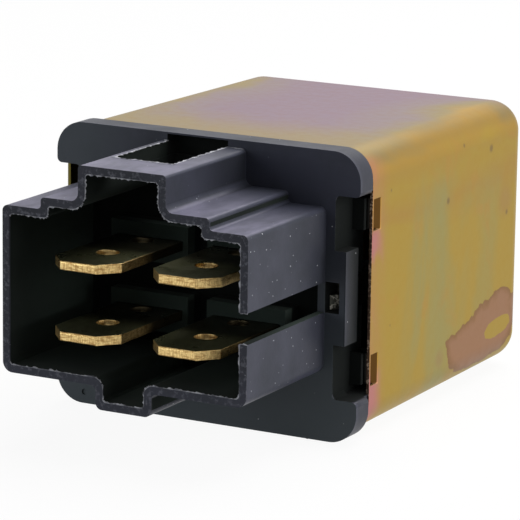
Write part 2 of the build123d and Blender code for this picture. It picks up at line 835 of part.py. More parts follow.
# Spring, stop and braid


def make_return_spring():
    """Tension spring under the yoke, with straight hooks through the tab and the tail."""
    tail_y = open_point(pole_face + pole_gap, spring_z)[0]
    start = tab_y + spring_end_gap
    end = tail_y - spring_end_gap
    pitch = (end - start) / spring_turns
    helix = Helix(pitch, end - start, spring_radius, center=(0, start, spring_z), direction=(0, 1, 0))
    wire = RegularPolygon(spring_wire_radius, spring_wire_sides)
    body = sweep(Plane(origin=helix @ 0, z_dir=helix % 0) * wire, path=helix, is_frenet=True)
    wall_near = tab_y - spring_tab_thickness
    wall_far = open_point(leaf_y, spring_z)[0]
    hooks = [(helix @ 0, start, wall_near - spring_end_gap), (helix @ 1, end, wall_far + spring_end_gap)]
    for edge_point, y_from, y_to in hooks:
        toward = 1 if y_to > y_from else -1
        y_start = y_from - toward * spring_wire_radius
        straight = Plane(origin=(0, y_start, spring_z), z_dir=(0, toward, 0)) * wire
        body += extrude(straight, amount=abs(y_to - y_start))
        axis_point = Vector(0, y_from, spring_z)
        outward = edge_point - axis_point
        spoke = Plane(origin=axis_point, z_dir=outward) * scale(wire, spoke_share)
        body += extrude(spoke, amount=outward.length + spring_wire_radius / 2)
        cross = Plane(origin=(-hook_length, y_to, spring_z), z_dir=(1, 0, 0)) * wire
        body += extrude(cross, amount=2 * hook_length)
    return body


def make_armature_stop():
    """Bent steel strip that the open leaf spring rests against."""
    leaf_back = open_point(leaf_y + leaf_thickness, stop_high)[0]
    middle = leaf_back + stop_gap + stop_thickness / 2
    path = FilletPolyline(
        (-stop_offset, bobbin_end - bobbin_flange),
        (-stop_offset, middle),
        (-stop_reach, middle),
        radius=stop_bend,
    )
    section = trace(path, line_width=stop_thickness)
    return Pos(0, 0, stop_low) * extrude(section, amount=stop_high - stop_low, dir=(0, 0, 1))


def make_braid():
    """Flat copper braid from the common terminal's strip to the horn of the leaf spring."""
    weld_z = (leaf_shoulder + leaf_horn_top) / 2
    end_y = open_point(leaf_y, weld_z)[0] - braid_gap
    start_z = strip_run_z + blade_thickness + braid_thickness / 2 + braid_gap
    start_y = yoke_end - bobbin_flange
    high_z = start_z + braid_rise
    run = end_y - start_y
    path = FilletPolyline(
        (start_y, start_z),
        (start_y + run / 4, start_z),
        (start_y + run / 2, high_z),
        (end_y - run / 4, high_z),
        (end_y - braid_bend, weld_z),
        (end_y, weld_z),
        radius=braid_bend,
    )
    section = Plane.YZ * trace(path, line_width=braid_thickness)
    return Pos(-blade_x, 0, 0) * extrude(section, amount=braid_width / 2, both=True)


def build():
    """Return every node of the relay in the frame of the sizes above."""
    nodes = {
        "base_header": make_header(),
        "can": make_can(),
        "terminal_load": make_load_terminal(),
        "terminal_common": make_common_terminal(),
        "terminal_coil_left": make_coil_terminal(-1),
        "terminal_coil_right": make_coil_terminal(1),
        "yoke": make_yoke(),
        "core": make_core(),
        "bobbin": make_bobbin(),
        "coil_winding": make_winding(),
        "coil_lead_left": make_coil_lead(-1),
        "coil_lead_right": make_coil_lead(1),
        "suppression_resistor": make_resistor(),
        "armature": make_armature(),
        "contact_spring": make_contact_spring(),
        "armature_rivets": make_armature_rivets(),
        "moving_contact": make_moving_contact(),
        "fixed_contact": make_fixed_contact(),
        "return_spring": make_return_spring(),
        "armature_stop": make_armature_stop(),
        "braid_lead": make_braid(),
    }
    return nodes


def main():
    """Build the relay, set it on its side at the origin and write one file for each node."""
    os.makedirs("parts", exist_ok=True)
    middle_y = (can_end - mouth_depth) / 2
    bottom = flange_half_height + gate_nub_height
    for name, solid in build().items():
        placed = Pos(0, -middle_y, bottom) * solid
        export_step(placed, f"parts/{name}.step")


main()
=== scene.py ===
"""Looks of a four-blade automotive relay: plated can, moulded header, blades and the works inside."""
import logging
import random
from dataclasses import dataclass, field
from enum import Enum
from math import cos, pi, radians, sin, sqrt
from typing import Sequence

import bmesh
import bpy
from mathutils import Matrix, Vector
from mathutils.bvhtree import BVHTree
from mathutils.geometry import area_tri
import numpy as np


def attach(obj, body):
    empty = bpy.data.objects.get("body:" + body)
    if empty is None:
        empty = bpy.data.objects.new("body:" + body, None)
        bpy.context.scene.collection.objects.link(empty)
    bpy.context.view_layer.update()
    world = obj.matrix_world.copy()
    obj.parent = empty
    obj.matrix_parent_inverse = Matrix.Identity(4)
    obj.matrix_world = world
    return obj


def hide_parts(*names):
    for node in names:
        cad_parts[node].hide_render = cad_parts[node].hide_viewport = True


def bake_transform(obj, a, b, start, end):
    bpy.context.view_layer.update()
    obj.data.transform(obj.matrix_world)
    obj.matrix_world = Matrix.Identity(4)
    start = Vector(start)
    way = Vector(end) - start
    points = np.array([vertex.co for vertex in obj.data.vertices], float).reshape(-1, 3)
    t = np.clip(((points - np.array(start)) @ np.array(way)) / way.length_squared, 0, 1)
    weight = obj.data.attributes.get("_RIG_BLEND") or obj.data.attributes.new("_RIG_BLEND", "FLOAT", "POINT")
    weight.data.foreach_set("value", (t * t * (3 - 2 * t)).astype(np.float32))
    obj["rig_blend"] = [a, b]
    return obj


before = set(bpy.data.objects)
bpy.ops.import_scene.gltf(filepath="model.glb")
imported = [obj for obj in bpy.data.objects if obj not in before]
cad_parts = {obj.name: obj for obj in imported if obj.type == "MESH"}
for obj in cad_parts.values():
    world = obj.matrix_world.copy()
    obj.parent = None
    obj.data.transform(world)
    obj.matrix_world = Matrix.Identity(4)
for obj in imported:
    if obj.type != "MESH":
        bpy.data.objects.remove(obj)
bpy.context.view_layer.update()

MM = 0.001
LOG = logging.getLogger("relay")

Colour = tuple[float, float, float]
# A fade holds two values to ease between, then the results there where they aren't 0 and 1.
Fade = tuple[float, ...]
# A zone holds limits, and each limit what it goes by and then its fade. Places are in millimetres.
Limit = tuple
Zone = tuple[Limit, ...]
Socket = bpy.types.NodeSocket


def paint(red: int, green: int, blue: int) -> Colour:
    """Return the linear colour of a paint chip read in daylight.

    Args:
        red: Red from 0 to 255, as a screen shows it.
        green: Green from 0 to 255.
        blue: Blue from 0 to 255.

    Returns:
        The linear colour that a shader takes.
    """
    def linear(level: int) -> float:
        """Return the light of one screen level."""
        share = level / 255
        return share / 12.92 if share <= 0.04045 else ((share + 0.055) / 1.055) ** 2.4
    return linear(red), linear(green), linear(blue)


class Body(Enum):
    """Bodies of the relay that a piece can ride on."""

    BASE = "base"
    ARMATURE = "armature"


class Slot(Enum):
    """Material slots of the record that a dressed piece takes its finish from."""

    HEADER = "header_plastic"
    CAN = "can_plating"
    BLADE = "blade_brass"
    YOKE = "yoke_steel"
    CORE = "core_steel"
    BOBBIN = "bobbin_plastic"
    COPPER = "coil_copper"
    RESISTOR = "resistor_coat"
    ARMATURE = "armature_steel"
    LEAF = "spring_bronze"
    RIVET = "rivet_steel"
    SILVER = "contact_silver"
    WIRE = "spring_wire"
    BRAID = "braid_copper"


class Mark(Enum):
    """Face attributes that a finish reads: how boxed in a face is, and how worn."""

    DEPTH = "depth"
    WEAR = "wear"


class Wear(Enum):
    """Worth of the wear mark on a softened edge and on torn flash."""

    SOFTENED = 1.0
    TORN = 2.0


class Way(Enum):
    """What a limit goes by: a place or a facing, which part of it, and whether its sign is dropped."""

    RIGHT = ("place", 0, False)
    BEHIND = ("place", 1, False)
    ABOVE = ("place", 2, False)
    ASIDE = ("place", 0, True)
    OFF_LEVEL = ("place", 2, True)
    FACING_BACK = ("facing", 1, False)
    FACING_UP = ("facing", 2, False)
    FACING_ASIDE = ("facing", 0, True)
    LYING = ("facing", 2, True)


@dataclass(frozen=True)
class Station:
    """Middle of the flange's front face in metres, and the mouth and tower from it in millimetres."""

    middle_y: float = 10.225 * MM
    middle_z: float = 12.4 * MM
    mouth: float = -13.1
    tower_top: float = 11.5

    def place(self, x: float, y: float, z: float) -> Vector:
        """Return the row place in metres of a point told in millimetres from the middle."""
        return Vector((x * MM, y * MM - self.middle_y, z * MM + self.middle_z))


STATION = Station()


class NodeChain:
    """Lays out and joins the nodes of one material, with places told in millimetres from the flange."""

    # Places of the colour sockets among those of a Mix node.
    FIRST_COLOUR, SECOND_COLOUR, MIXED_COLOUR = 6, 7, 2

    def __init__(self, name: str) -> None:
        """Start a material with a shader and the place of each point.

        Args:
            name: Name of the material.
        """
        self.material = bpy.data.materials.new(name)
        self.material.use_nodes = True
        self.tree = self.material.node_tree
        self.tree.nodes.clear()
        self.output = self.node("OutputMaterial")
        self.shader = self.node("BsdfPrincipled")
        self.feed(self.output.inputs["Surface"], self.shader.outputs["BSDF"])
        coordinates = self.node("TexCoord")
        from_flange = self.vector("SUBTRACT", coordinates.outputs["Object"], STATION.place(0, 0, 0))
        self.place = self.vector("DIVIDE", from_flange, (MM, MM, MM))
        self.sources = {"place": self.place, "facing": coordinates.outputs["Normal"]}
        self.ways: dict[Enum, Socket] = {}

    def node(self, kind: str, **inputs: object) -> bpy.types.Node:
        """Add a node and feed its inputs.

        Args:
            kind: Kind of shader node.
            inputs: Sockets or values by input name, with underscores for spaces.

        Returns:
            The new node.
        """
        node = self.tree.nodes.new(f"ShaderNode{kind}")
        for name, value in inputs.items():
            self.feed(node.inputs[name.replace("_", " ")], value)
        return node

    def feed(self, socket: Socket, value: object) -> None:
        """Give a socket either a link or a plain value.

        Args:
            socket: Input to set.
            value: Output socket, number or colour.
        """
        if isinstance(value, Socket):
            self.tree.links.new(value, socket)
        elif isinstance(value, tuple) and socket.type == "RGBA":
            socket.default_value = (*value, 1.0)
        else:
            socket.default_value = value

    def vector(self, operation: str, first: Socket, second: Sequence[float]) -> Socket:
        """Return the result of a vector sum.

        Args:
            operation: Name of the operation.
            first: Vector socket.
            second: Plain vector.

        Returns:
            The vector socket, or the value socket of a distance.
        """
        node = self.node("VectorMath")
        node.operation = operation
        self.feed(node.inputs[0], first)
        self.feed(node.inputs[1], second)
        return node.outputs["Value" if operation == "DISTANCE" else "Vector"]

    def noise(self, scale: float | Sequence[float], detail: float = 3.0, roughness: float = 0.55,
              distortion: float = 0.0) -> Socket:
        """Return a noise value.

        Args:
            scale: Features per millimetre, on all axes or on each.
            detail: Octaves of the noise.
            roughness: Weight of the finer octaves.
            distortion: How far the noise is bent.

        Returns:
            Noise factor from zero to one.
        """
        scales = scale if isinstance(scale, tuple) else (scale, scale, scale)
        node = self.node("TexNoise", Vector=self.vector("MULTIPLY", self.place, scales), Scale=1.0,
                         Detail=detail, Roughness=roughness, Distortion=distortion)
        return node.outputs["Fac"]

    def cells(self, scale: float) -> tuple[Socket, Socket]:
        """Return distance to the nearest cell point and the cell's own random colour.

        Args:
            scale: Cells per millimetre.

        Returns:
            Distance and colour sockets.
        """
        place = self.vector("MULTIPLY", self.place, (scale, scale, scale))
        node = self.node("TexVoronoi", Vector=place, Scale=1.0)
        return node.outputs["Distance"], node.outputs["Color"]

    def axis(self, vector: Socket, index: int) -> Socket:
        """Return one part of a vector."""
        return self.node("SeparateXYZ", Vector=vector).outputs[index]

    def way(self, way: Way | Mark) -> Socket:
        """Return the value that a limit goes by, made once for each material.

        Args:
            way: A place, a facing or a face attribute.

        Returns:
            The value socket.
        """
        if way not in self.ways:
            if isinstance(way, Mark):
                node = self.node("Attribute")
                node.attribute_name = way.value
                self.ways[way] = node.outputs["Fac"]
            else:
                source, index, unsigned = way.value
                value = self.axis(self.sources[source], index)
                self.ways[way] = self.math("ABSOLUTE", value) if unsigned else value
        return self.ways[way]

    def math(self, operation: str, *values: object) -> Socket:
        """Return the result of a math node.

        Args:
            operation: Name of the operation.
            values: Sockets or numbers to feed it.

        Returns:
            The value socket.
        """
        node = self.node("Math")
        node.operation = operation
        for socket, value in zip(node.inputs, values):
            self.feed(socket, value)
        return node.outputs[0]

    def either(self, first: object, second: object) -> Socket:
        """Return the fuller of two masks."""
        return self.math("MAXIMUM", first, second)

    def both(self, *masks: object) -> Socket:
        """Return the product of two or more masks, or a single one as it is.

        Args:
            masks: Sockets or numbers.

        Returns:
            The product.
        """
        product, *others = masks
        for mask in others:
            product = self.math("MULTIPLY", product, mask)
        return product

    def span(self, value: object, low: float, high: float, to_low: float = 0.0,
             to_high: float = 1.0) -> Socket:
        """Map a value from one range to another with an eased step, and hold it there.

        Args:
            value: Socket or number to map.
            low: Value that gives to_low.
            high: Value that gives to_high.
            to_low: Result at low.
            to_high: Result at high.

        Returns:
            The mapped value.
        """
        node = self.node("MapRange", Value=value, From_Min=low, From_Max=high,
                         To_Min=to_low, To_Max=to_high)
        node.interpolation_type = "SMOOTHSTEP"
        return node.outputs["Result"]

    def zone(self, *limits: Limit) -> Socket:
        """Return the mask of a zone, which is the product of its limits."""
        return self.both(*(self.span(self.way(way), *fade) for way, *fade in limits))

    def band(self, value: object, middle: float, half: float, soft: float) -> Socket:
        """Return a mask that is full within half of the middle and fades over soft on both sides."""
        away = self.math("ABSOLUTE", self.math("SUBTRACT", value, middle))
        return self.span(away, half, half + soft, 1.0, 0.0)

    def swayed(self, value: object, noise: Socket, reach: float, calm: float = 0.3,
               busy: float = 0.7) -> Socket:
        """Return a value that a noise moves by up to a reach either way."""
        return self.math("ADD", value, self.span(noise, calm, busy, -reach, reach))

    def mix(self, factor: object, first: object, second: object) -> Socket:
        """Mix two colours.

        Args:
            factor: Share of the second colour.
            first: Socket or colour.
            second: Socket or colour.

        Returns:
            The mixed colour.
        """
        node = self.node("Mix")
        node.data_type = "RGBA"
        self.feed(node.inputs["Factor"], factor)
        self.feed(node.inputs[self.FIRST_COLOUR], first)
        self.feed(node.inputs[self.SECOND_COLOUR], second)
        return node.outputs[self.MIXED_COLOUR]

    def coats(self, colour: object, *coats: tuple[object, object]) -> Socket:
        """Lay coats over a colour, one after the other.

        Args:
            colour: Socket or colour underneath.
            coats: Mask and colour of each coat.

        Returns:
            The colour on top.
        """
        for mask, coat in coats:
            colour = self.mix(mask, colour, coat)
        return colour

    def ramp(self, value: Socket, stops: Sequence[tuple[float, Colour]]) -> Socket:
        """Return a colour from a ramp.

        Args:
            value: Factor along the ramp.
            stops: Places and colours.

        Returns:
            The ramp's colour.
        """
        node = self.node("ValToRGB", Fac=value)
        elements = node.color_ramp.elements
        while len(elements) < len(stops):
            elements.new(0.5)
        for element, (place, colour) in zip(elements, stops):
            element.position = place
            element.color = (*colour, 1.0)
        return node.outputs["Color"]

    def bump(self, height: Socket, strength: float, distance: float,
             under: Socket | None = None) -> Socket:
        """Return a bumped surface direction.

        Args:
            height: Height value.
            strength: Share of the bump that shows.
            distance: Depth of the bump in metres.
            under: Direction from an earlier bump.

        Returns:
            The bumped direction.
        """
        node = self.node("Bump", Strength=strength, Distance=distance, Height=height)
        if under is not None:
            self.feed(node.inputs["Normal"], under)
        return node.outputs["Normal"]

    def finish(self, **values: object) -> bpy.types.Material:
        """Feed the shader and return the material.

        Args:
            values: Shader inputs by name, with underscores for spaces.

        Returns:
            The finished material.
        """
        for name, value in values.items():
            self.feed(self.shader.inputs[name.replace("_", " ").title().replace("Ior", "IOR")], value)
        return self.material


@dataclass(frozen=True)
class HeaderPlastic:
    """Slate blue-grey plastic: dusty and scuffed at its edges, with painted shade in its corners and
    near-black painted shade inside the mouth, and a painted sheen on its tops.
    """

    skin: Colour = paint(62, 64, 77)
    shade: Colour = paint(49, 52, 61)
    # Painted shade for boxed-in corners, the walls' roots near the flange, the flange's sides and the rim.
    painted_crease_shade: Colour = paint(24, 26, 31)
    # Painted sheen on the upward faces, in patches, fading towards the flange.
    painted_top_sheen: Colour = paint(122, 120, 140)
    # Painted fill light: the flange's front is paler on its lower and left parts.
    fade: Colour = paint(83, 91, 95)
    # Painted shade: near-black inside the mouth, a little less dark on its lower back wall, and near-black
    # in the notches, the pockets behind the flange and on the notch bars.
    inside: Colour = paint(20, 26, 23)
    painted_lesser_shade: Colour = paint(56, 66, 61)
    painted_pocket_shade: Colour = paint(9, 13, 12)
    scuff: Colour = paint(142, 143, 154)
    burr: Colour = paint(205, 206, 212)
    dust: Colour = paint(225, 228, 234)
    roughness: Fade = (0.3, 0.75, 0.41, 0.54)
    inner_roughness: float = 0.5
    specular: float = 0.20
    ripple_depth: float = 0.040 * MM
    grain_depth: float = 0.010 * MM
    bump_strength: float = 0.5

    before_flange: Limit = (Way.BEHIND, -0.15, -0.05, 1.0, 0.0)
    corners: Zone = ((Mark.DEPTH, 0.16, 0.42, 0.0, 0.75), (Way.BEHIND, -10.0, -3.0, 0.35, 1.0))
    wall_roots: Zone = ((Way.ASIDE, 11.2, 11.3), (Way.BEHIND, -7.0, -0.4, 0.0, 0.5))
    flange_front: Zone = ((Way.FACING_BACK, -0.95, -0.8, 1.0, 0.0), (Way.BEHIND, -0.1, -0.05))
    flange_low: Limit = (Way.ABOVE, -10.0, 8.0, 0.85, 0.0)
    flange_left: Limit = (Way.RIGHT, -13.0, -4.0, 0.6, 0.0)
    flange_sides: Zone = ((Way.BEHIND, 0.1, 0.5, 0.0, 0.45), (Way.FACING_BACK, -0.8, -0.5))
    bars: Zone = ((Way.ASIDE, 13.05, 13.15), (Way.OFF_LEVEL, 3.94, 4.04, 1.0, 0.0),
                  (Way.BEHIND, 0.0, 1.6, 0.4, 0.9))
    tops: Zone = ((Way.FACING_UP, 0.6, 0.95), (Way.BEHIND, -11.0, -1.0, 0.95, 0.0),
                  (Way.ABOVE, 8.5, 11.0, 0.85, 1.0))
    rim: Limit = (Way.BEHIND, -13.08, -13.04, 1.0, 0.0)
    rim_shade: Limit = (Way.ABOVE, -7.5, -3.0, 0.1, 0.5)
    softened_edges: Limit = (Mark.WEAR, 0.0, 1.0, 0.0, 0.75)
    torn_flash: Limit = (Mark.WEAR, 1.2, 1.8)
    behind_lip: Zone = ((Mark.DEPTH, 0.44, 0.49), (Way.BEHIND, -13.07, -12.85))
    notches: Zone = ((Way.ASIDE, 12.1, 12.15), (Way.BEHIND, 0.03, 0.15),
                     (Way.OFF_LEVEL, 8.54, 8.60, 1.0, 0.0))
    bars_in_notches: Zone = ((Way.ASIDE, 13.05, 13.15), (Way.OFF_LEVEL, 3.91, 3.97, 1.0, 0.0))
    back_of_mouth: Zone = ((Way.BEHIND, -13.1, -3.0), (Way.ABOVE, 6.5, 8.0, 1.0, 0.0))
    behind_front: Limit = (Way.BEHIND, -0.2, 0.1)

    shade_clouds: Fade = (0.35, 0.7)
    painted_sheen_clouds: Fade = (0.35, 0.65, 0.5, 1.0)
    edge_scuffs: Fade = (0.42, 0.62)
    rim_scuffs: Fade = (0.50, 0.66, 0.0, 0.35)
    flash_clouds: Fade = (0.4, 0.6, 0.15, 0.95)
    speck_cells: float = 1.5
    speck_choice: Fade = (0.76, 0.77)
    speck_edge: Fade = (0.057, 0.095, 1.0, 0.0)
    speck_strength: Fade = (0.0, 1.0, 0.1, 0.8)

    def inner(self, chain: NodeChain) -> Socket:
        """Return the mask of the walls that the light hardly reaches, in the mouth and the notches.

        Args:
            chain: Chain of the header's material.

        Returns:
            The mask from zero to one.
        """
        beside_bars = chain.math("SUBTRACT", 1.0, chain.zone(*self.bars_in_notches))
        in_notches = chain.both(chain.zone(*self.notches), beside_bars)
        return chain.either(chain.zone(*self.behind_lip), in_notches)

    def shaded(self, chain: NodeChain, cloud: Socket) -> Socket:
        """Return the clean skin's colour, with painted shade in its corners, at its walls' roots, on its
        flange's sides, bars and rim, a painted fill light on the flange's front, and a painted sheen on its
        tops.

        Args:
            chain: Chain of the header's material.
            cloud: Wide noise of the skin.

        Returns:
            The colour before scuffs and dust.
        """
        paler = chain.either(chain.zone(self.flange_low), chain.zone(self.flange_left))
        patches = chain.noise(scale=(0.5, 0.25, 0.5), detail=4)
        return chain.coats(
            self.skin,
            (chain.span(cloud, *self.shade_clouds), self.shade),
            (chain.zone(*self.corners, self.before_flange), self.painted_crease_shade),
            (chain.zone(*self.wall_roots, self.before_flange), self.painted_crease_shade),
            (chain.both(chain.zone(*self.flange_front), paler), self.fade),
            (chain.zone(*self.flange_sides), self.painted_crease_shade),
            (chain.zone(*self.bars), self.painted_pocket_shade),
            (chain.both(chain.zone(*self.tops), chain.span(patches, *self.painted_sheen_clouds)), self.painted_top_sheen),
            (chain.zone(self.rim, self.rim_shade), self.painted_crease_shade),
        )

    def dusted(self, chain: NodeChain, colour: Socket) -> Socket:
        """Return a colour with fine specks of dust on it.

        Args:
            chain: Chain of the header's material.
            colour: Colour underneath.

        Returns:
            The dusted colour.
        """
        distance, random_colour = chain.cells(self.speck_cells)
        chosen = chain.span(chain.axis(random_colour, 0), *self.speck_choice)
        strength = chain.span(chain.axis(random_colour, 1), *self.speck_strength)
        speck = chain.both(chain.span(distance, *self.speck_edge), chosen, strength)
        return chain.mix(speck, colour, self.dust)

    def build(self) -> bpy.types.Material:
        """Return the header's material.

        Returns:
            The finished material.
        """
        chain = NodeChain("header_plastic_finish")
        cloud = chain.noise(scale=0.16, detail=5)
        fine = chain.noise(scale=2.2, detail=4, roughness=0.65)
        worn_edges = chain.both(chain.zone(self.softened_edges), chain.span(fine, *self.edge_scuffs))
        worn_rim = chain.both(chain.zone(self.rim), chain.span(fine, *self.rim_scuffs))
        burred = chain.span(chain.noise(scale=1.3, detail=4), *self.flash_clouds)
        # Painted shade: near-black walls in the mouth, the notches and the pockets behind the flange.
        inner = self.inner(chain)
        dark = chain.coats(self.inside, (chain.zone(*self.back_of_mouth), self.painted_lesser_shade),
                           (chain.zone(self.behind_front), self.painted_pocket_shade))
        scuffed = chain.mix(chain.either(worn_edges, worn_rim), self.shaded(chain, cloud), self.scuff)
        colour = chain.coats(self.dusted(chain, scuffed),
                             (chain.both(chain.zone(self.torn_flash), burred), self.burr), (inner, dark))
        ripple, grain = chain.noise(scale=0.9), chain.noise(scale=5.2, detail=2)
        normal = chain.bump(ripple, self.bump_strength, self.ripple_depth)
        normal = chain.bump(grain, self.bump_strength, self.grain_depth, normal)
        rougher = chain.both(inner, self.inner_roughness)
        rough = chain.math("ADD", chain.span(cloud, *self.roughness), rougher)
        return chain.finish(base_color=colour, roughness=rough, normal=normal,
                            specular_ior_level=self.specular)


@dataclass(frozen=True)
class Stain:
    """Ragged oval on the can's right wall, cut off above a slanting line where that line passes it."""

    y: float
    z: float
    half_long: float
    half_high: float
    lean: float
    cut: tuple[float, float] = (0.0, 0.0)
    cut_slope: float = 0.277
    cut_gain: float = 0.4
    squareness: float = 2.6
    fray: float = 0.13
    edge: Fade = (0.93, 1.0, 1.0, 0.0)
    wall: Limit = (Way.RIGHT, 12.0, 12.6)

    def reach(self, chain: NodeChain, ragged: Socket) -> Socket:
        """Return how far out a place lies, one at the edge of the oval.

        Args:
            chain: Chain of the can's material.
            ragged: Noise that frays its edge.

        Returns:
            Zero in the middle, one at the edge and more outside.
        """
        behind, above = chain.way(Way.BEHIND), chain.way(Way.ABOVE)
        turn = radians(self.lean)
        across, up = chain.math("SUBTRACT", behind, self.y), chain.math("SUBTRACT", above, self.z)
        long_way = chain.math("ADD", chain.both(across, cos(turn)), chain.both(up, sin(turn)))
        high_way = chain.math("SUBTRACT", chain.both(up, cos(turn)), chain.both(across, sin(turn)))
        powers = []
        for way, half in ((long_way, self.half_long), (high_way, self.half_high)):
            share = chain.math("ABSOLUTE", chain.both(way, 1 / half))
            powers.append(chain.math("POWER", share, self.squareness))
        cut_y, cut_z = self.cut
        past_cut = chain.both(chain.math("SUBTRACT", behind, cut_y), self.cut_slope)
        over = chain.math("SUBTRACT", above, chain.math("ADD", past_cut, cut_z))
        cut = chain.math("ADD", chain.both(over, self.cut_gain), 1.0)
        return chain.swayed(chain.either(chain.math("ADD", *powers), cut), ragged, self.fray)

    def mask(self, chain: NodeChain, reach: Socket) -> Socket:
        """Return the mask of the oval on the right wall, from how far out a place lies."""
        return chain.both(chain.span(reach, *self.edge), chain.zone(self.wall))


@dataclass(frozen=True)
class Spots:
    """Round spots of one colour on the can's right wall, by distance behind, height and radius."""

    colour: Colour
    strength: float
    core: float
    places: tuple[tuple[float, float, float], ...]
    wall: float = 13.95

    def laid(self, chain: NodeChain, colour: Socket) -> Socket:
        """Return a colour with the spots on it.

        Args:
            chain: Chain of the can's material.
            colour: Colour underneath.

        Returns:
            The spotted colour.
        """
        for y, z, radius in self.places:
            away = chain.vector("DISTANCE", chain.place, (self.wall, y, z))
            spot = chain.span(away, radius * self.core, radius * (1 + self.core), self.strength, 0.0)
            colour = chain.mix(spot, colour, self.colour)
        return colour


@dataclass(frozen=True)
class ChromatePlating:
    """Yellow chromate over drawn steel: its film turns from mauve on top through olive to gold."""

    mauve: Colour = paint(124, 104, 117)
    dove: Colour = paint(127, 111, 111)
    olive: Colour = paint(134, 118, 76)
    orange: Colour = paint(168, 124, 52)
    amber: Colour = paint(158, 126, 52)
    gold: Colour = paint(160, 133, 48)
    # Painted shade on the long rounds between the top and the sides.
    shaded: Colour = paint(110, 88, 44)
    green: Colour = paint(142, 135, 80)
    pink: Colour = paint(172, 114, 92)
    magenta: Colour = paint(176, 108, 118)
    stain: Colour = paint(146, 107, 76)
    outline: Colour = paint(124, 88, 44)
    bare: Colour = paint(70, 54, 44)
    burr: Colour = paint(150, 132, 116)
    unlit: Colour = paint(12, 11, 9)
    # Painted shade in the tongue slots: dark brown.
    painted_slot_shade: Colour = paint(84, 58, 24)
    tab: Colour = paint(92, 84, 38)
    roughness: Fade = (0.3, 0.8, 0.44, 0.50)
    metallic: float = 0.85
    specular: float = 0.2
    drawn_depth: float = 0.004 * MM
    drawn_strength: float = 0.12

    film: tuple[tuple[float, Colour], ...] = (
        (0.22, mauve), (0.41, dove), (0.50, olive), (0.58, amber), (0.68, gold), (0.78, amber),
        (0.90, gold),
    )
    film_reach: float = 12.0
    film_sway: float = 2.2
    closed_end: Limit = (Way.FACING_BACK, 0.2, 0.95, 0.0, 13.0)
    long_rounds: Zone = ((Way.FACING_UP, 0.34, 0.84), (Way.FACING_UP, 0.88, 1.38, 1.0, 0.0),
                         (Way.FACING_ASIDE, 0.03, 0.35, 0.0, 0.45))

    side_wall: Limit = (Way.ASIDE, 12.6, 13.8)
    end_wall: Limit = (Way.FACING_BACK, 0.5, 0.9)
    drift_sway: float = 2.5
    wide_drift: tuple[float, float, float] = (15.5, 1.8, 3.6)
    wide_drift_top: Limit = (Way.ABOVE, 9.5, 5.5)
    wide_drift_clouds: Fade = (0.35, 0.6, 0.45, 0.85)
    thin_drift: tuple[float, float, float] = (25.0, 1.0, 3.5)
    thin_drift_top: Limit = (Way.ABOVE, 8.0, 4.0, 0.0, 0.45)
    blush: Fade = (0.54, 0.68, 0.0, 0.4)
    pink_rim: Limit = (Way.BEHIND, 3.2, 6.4, 1.0, 0.0)
    pink_clouds: Fade = (0.40, 0.60, 0.2, 0.65)
    blot_sway: float = 1.2
    low_blot: tuple[float, float, float] = (-8.6, 0.8, 1.6)
    high_blot: tuple[float, float, float] = (3.8, 0.5, 1.4)
    blot_reach: Limit = (Way.BEHIND, 3.4, 5.6, 0.75, 0.0)
    strip_sway: float = 1.5
    strip: Fade = (5.0, 14.0, 1.0, 0.0)
    upward: Limit = (Way.FACING_UP, 0.6, 0.95, 0.0, 0.85)

    mottling: Fade = (0.3, 0.7, 0.0, 0.07)
    patch: Stain = Stain(24.8, -7.6, half_long=7.2, half_high=3.2, lean=2.0, cut=(18.6, -6.9))
    island: Stain = Stain(28.1, -7.98, half_long=2.6, half_high=0.8, lean=4.0)
    patch_edge: Fade = (0.55, 0.98, 0.0, 0.8)
    blotches: Spots = Spots(stain, 0.35, 0.3, ((16.3, -8.4, 0.9), (29.0, 3.4, 1.6)))
    specks: Spots = Spots(paint(110, 88, 54), 0.7, 0.5, (
        (6.3, 8.1, 0.16), (17.3, 5.3, 0.30), (20.3, 9.6, 0.18), (25.8, 8.5, 0.34), (29.4, 2.2, 0.24),
        (6.6, -3.4, 0.14),
    ))
    burr_clouds: Fade = (0.5, 0.62)
    rim_edge: Zone = ((Way.FACING_BACK, -0.9, -0.6, 1.0, 0.0), (Way.BEHIND, 3.05, 3.15, 1.0, 0.0),
                      (Way.OFF_LEVEL, 10.5, 11.5, 1.0, 0.0))
    rim_tab: Zone = ((Way.BEHIND, 2.9, 2.95, 1.0, 0.0), (Way.OFF_LEVEL, 8.35, 8.45, 1.0, 0.0))
    slots: Zone = ((Way.OFF_LEVEL, 5.235, 5.255), (Way.OFF_LEVEL, 7.845, 7.865, 1.0, 0.0),
                   (Way.BEHIND, 3.13, 3.17), (Way.BEHIND, 4.5, 4.56, 1.0, 0.0),
                   (Way.ASIDE, 13.98, 14.02, 1.0, 0.0))
    hidden: Zone = ((Way.ASIDE, 13.49, 13.55, 1.0, 0.0), (Way.OFF_LEVEL, 9.4, 9.5, 1.0, 0.0),
                    (Way.BEHIND, 5.5, 5.6, 1.0, 0.0))

    def wall(self, chain: NodeChain) -> Socket:
        """Return the film's colour on the top, round the corners and down the sides.

        Args:
            chain: Chain of the can's material.

        Returns:
            The colour before its drifts.
        """
        sway = chain.noise(scale=(0.10, 0.055, 0.14), detail=4, distortion=0.4)
        round_corner = chain.math("SUBTRACT", chain.way(Way.ASIDE), chain.way(Way.ABOVE))
        wrap = chain.swayed(round_corner, sway, self.film_sway)
        wrap = chain.math("ADD", wrap, chain.zone(self.closed_end))
        share = chain.math("DIVIDE", chain.math("ADD", wrap, self.film_reach), self.film_reach * 2)
        # The long rounds take the shaded colour: painted shade.
        return chain.mix(chain.zone(*self.long_rounds), chain.ramp(share, self.film), self.shaded)

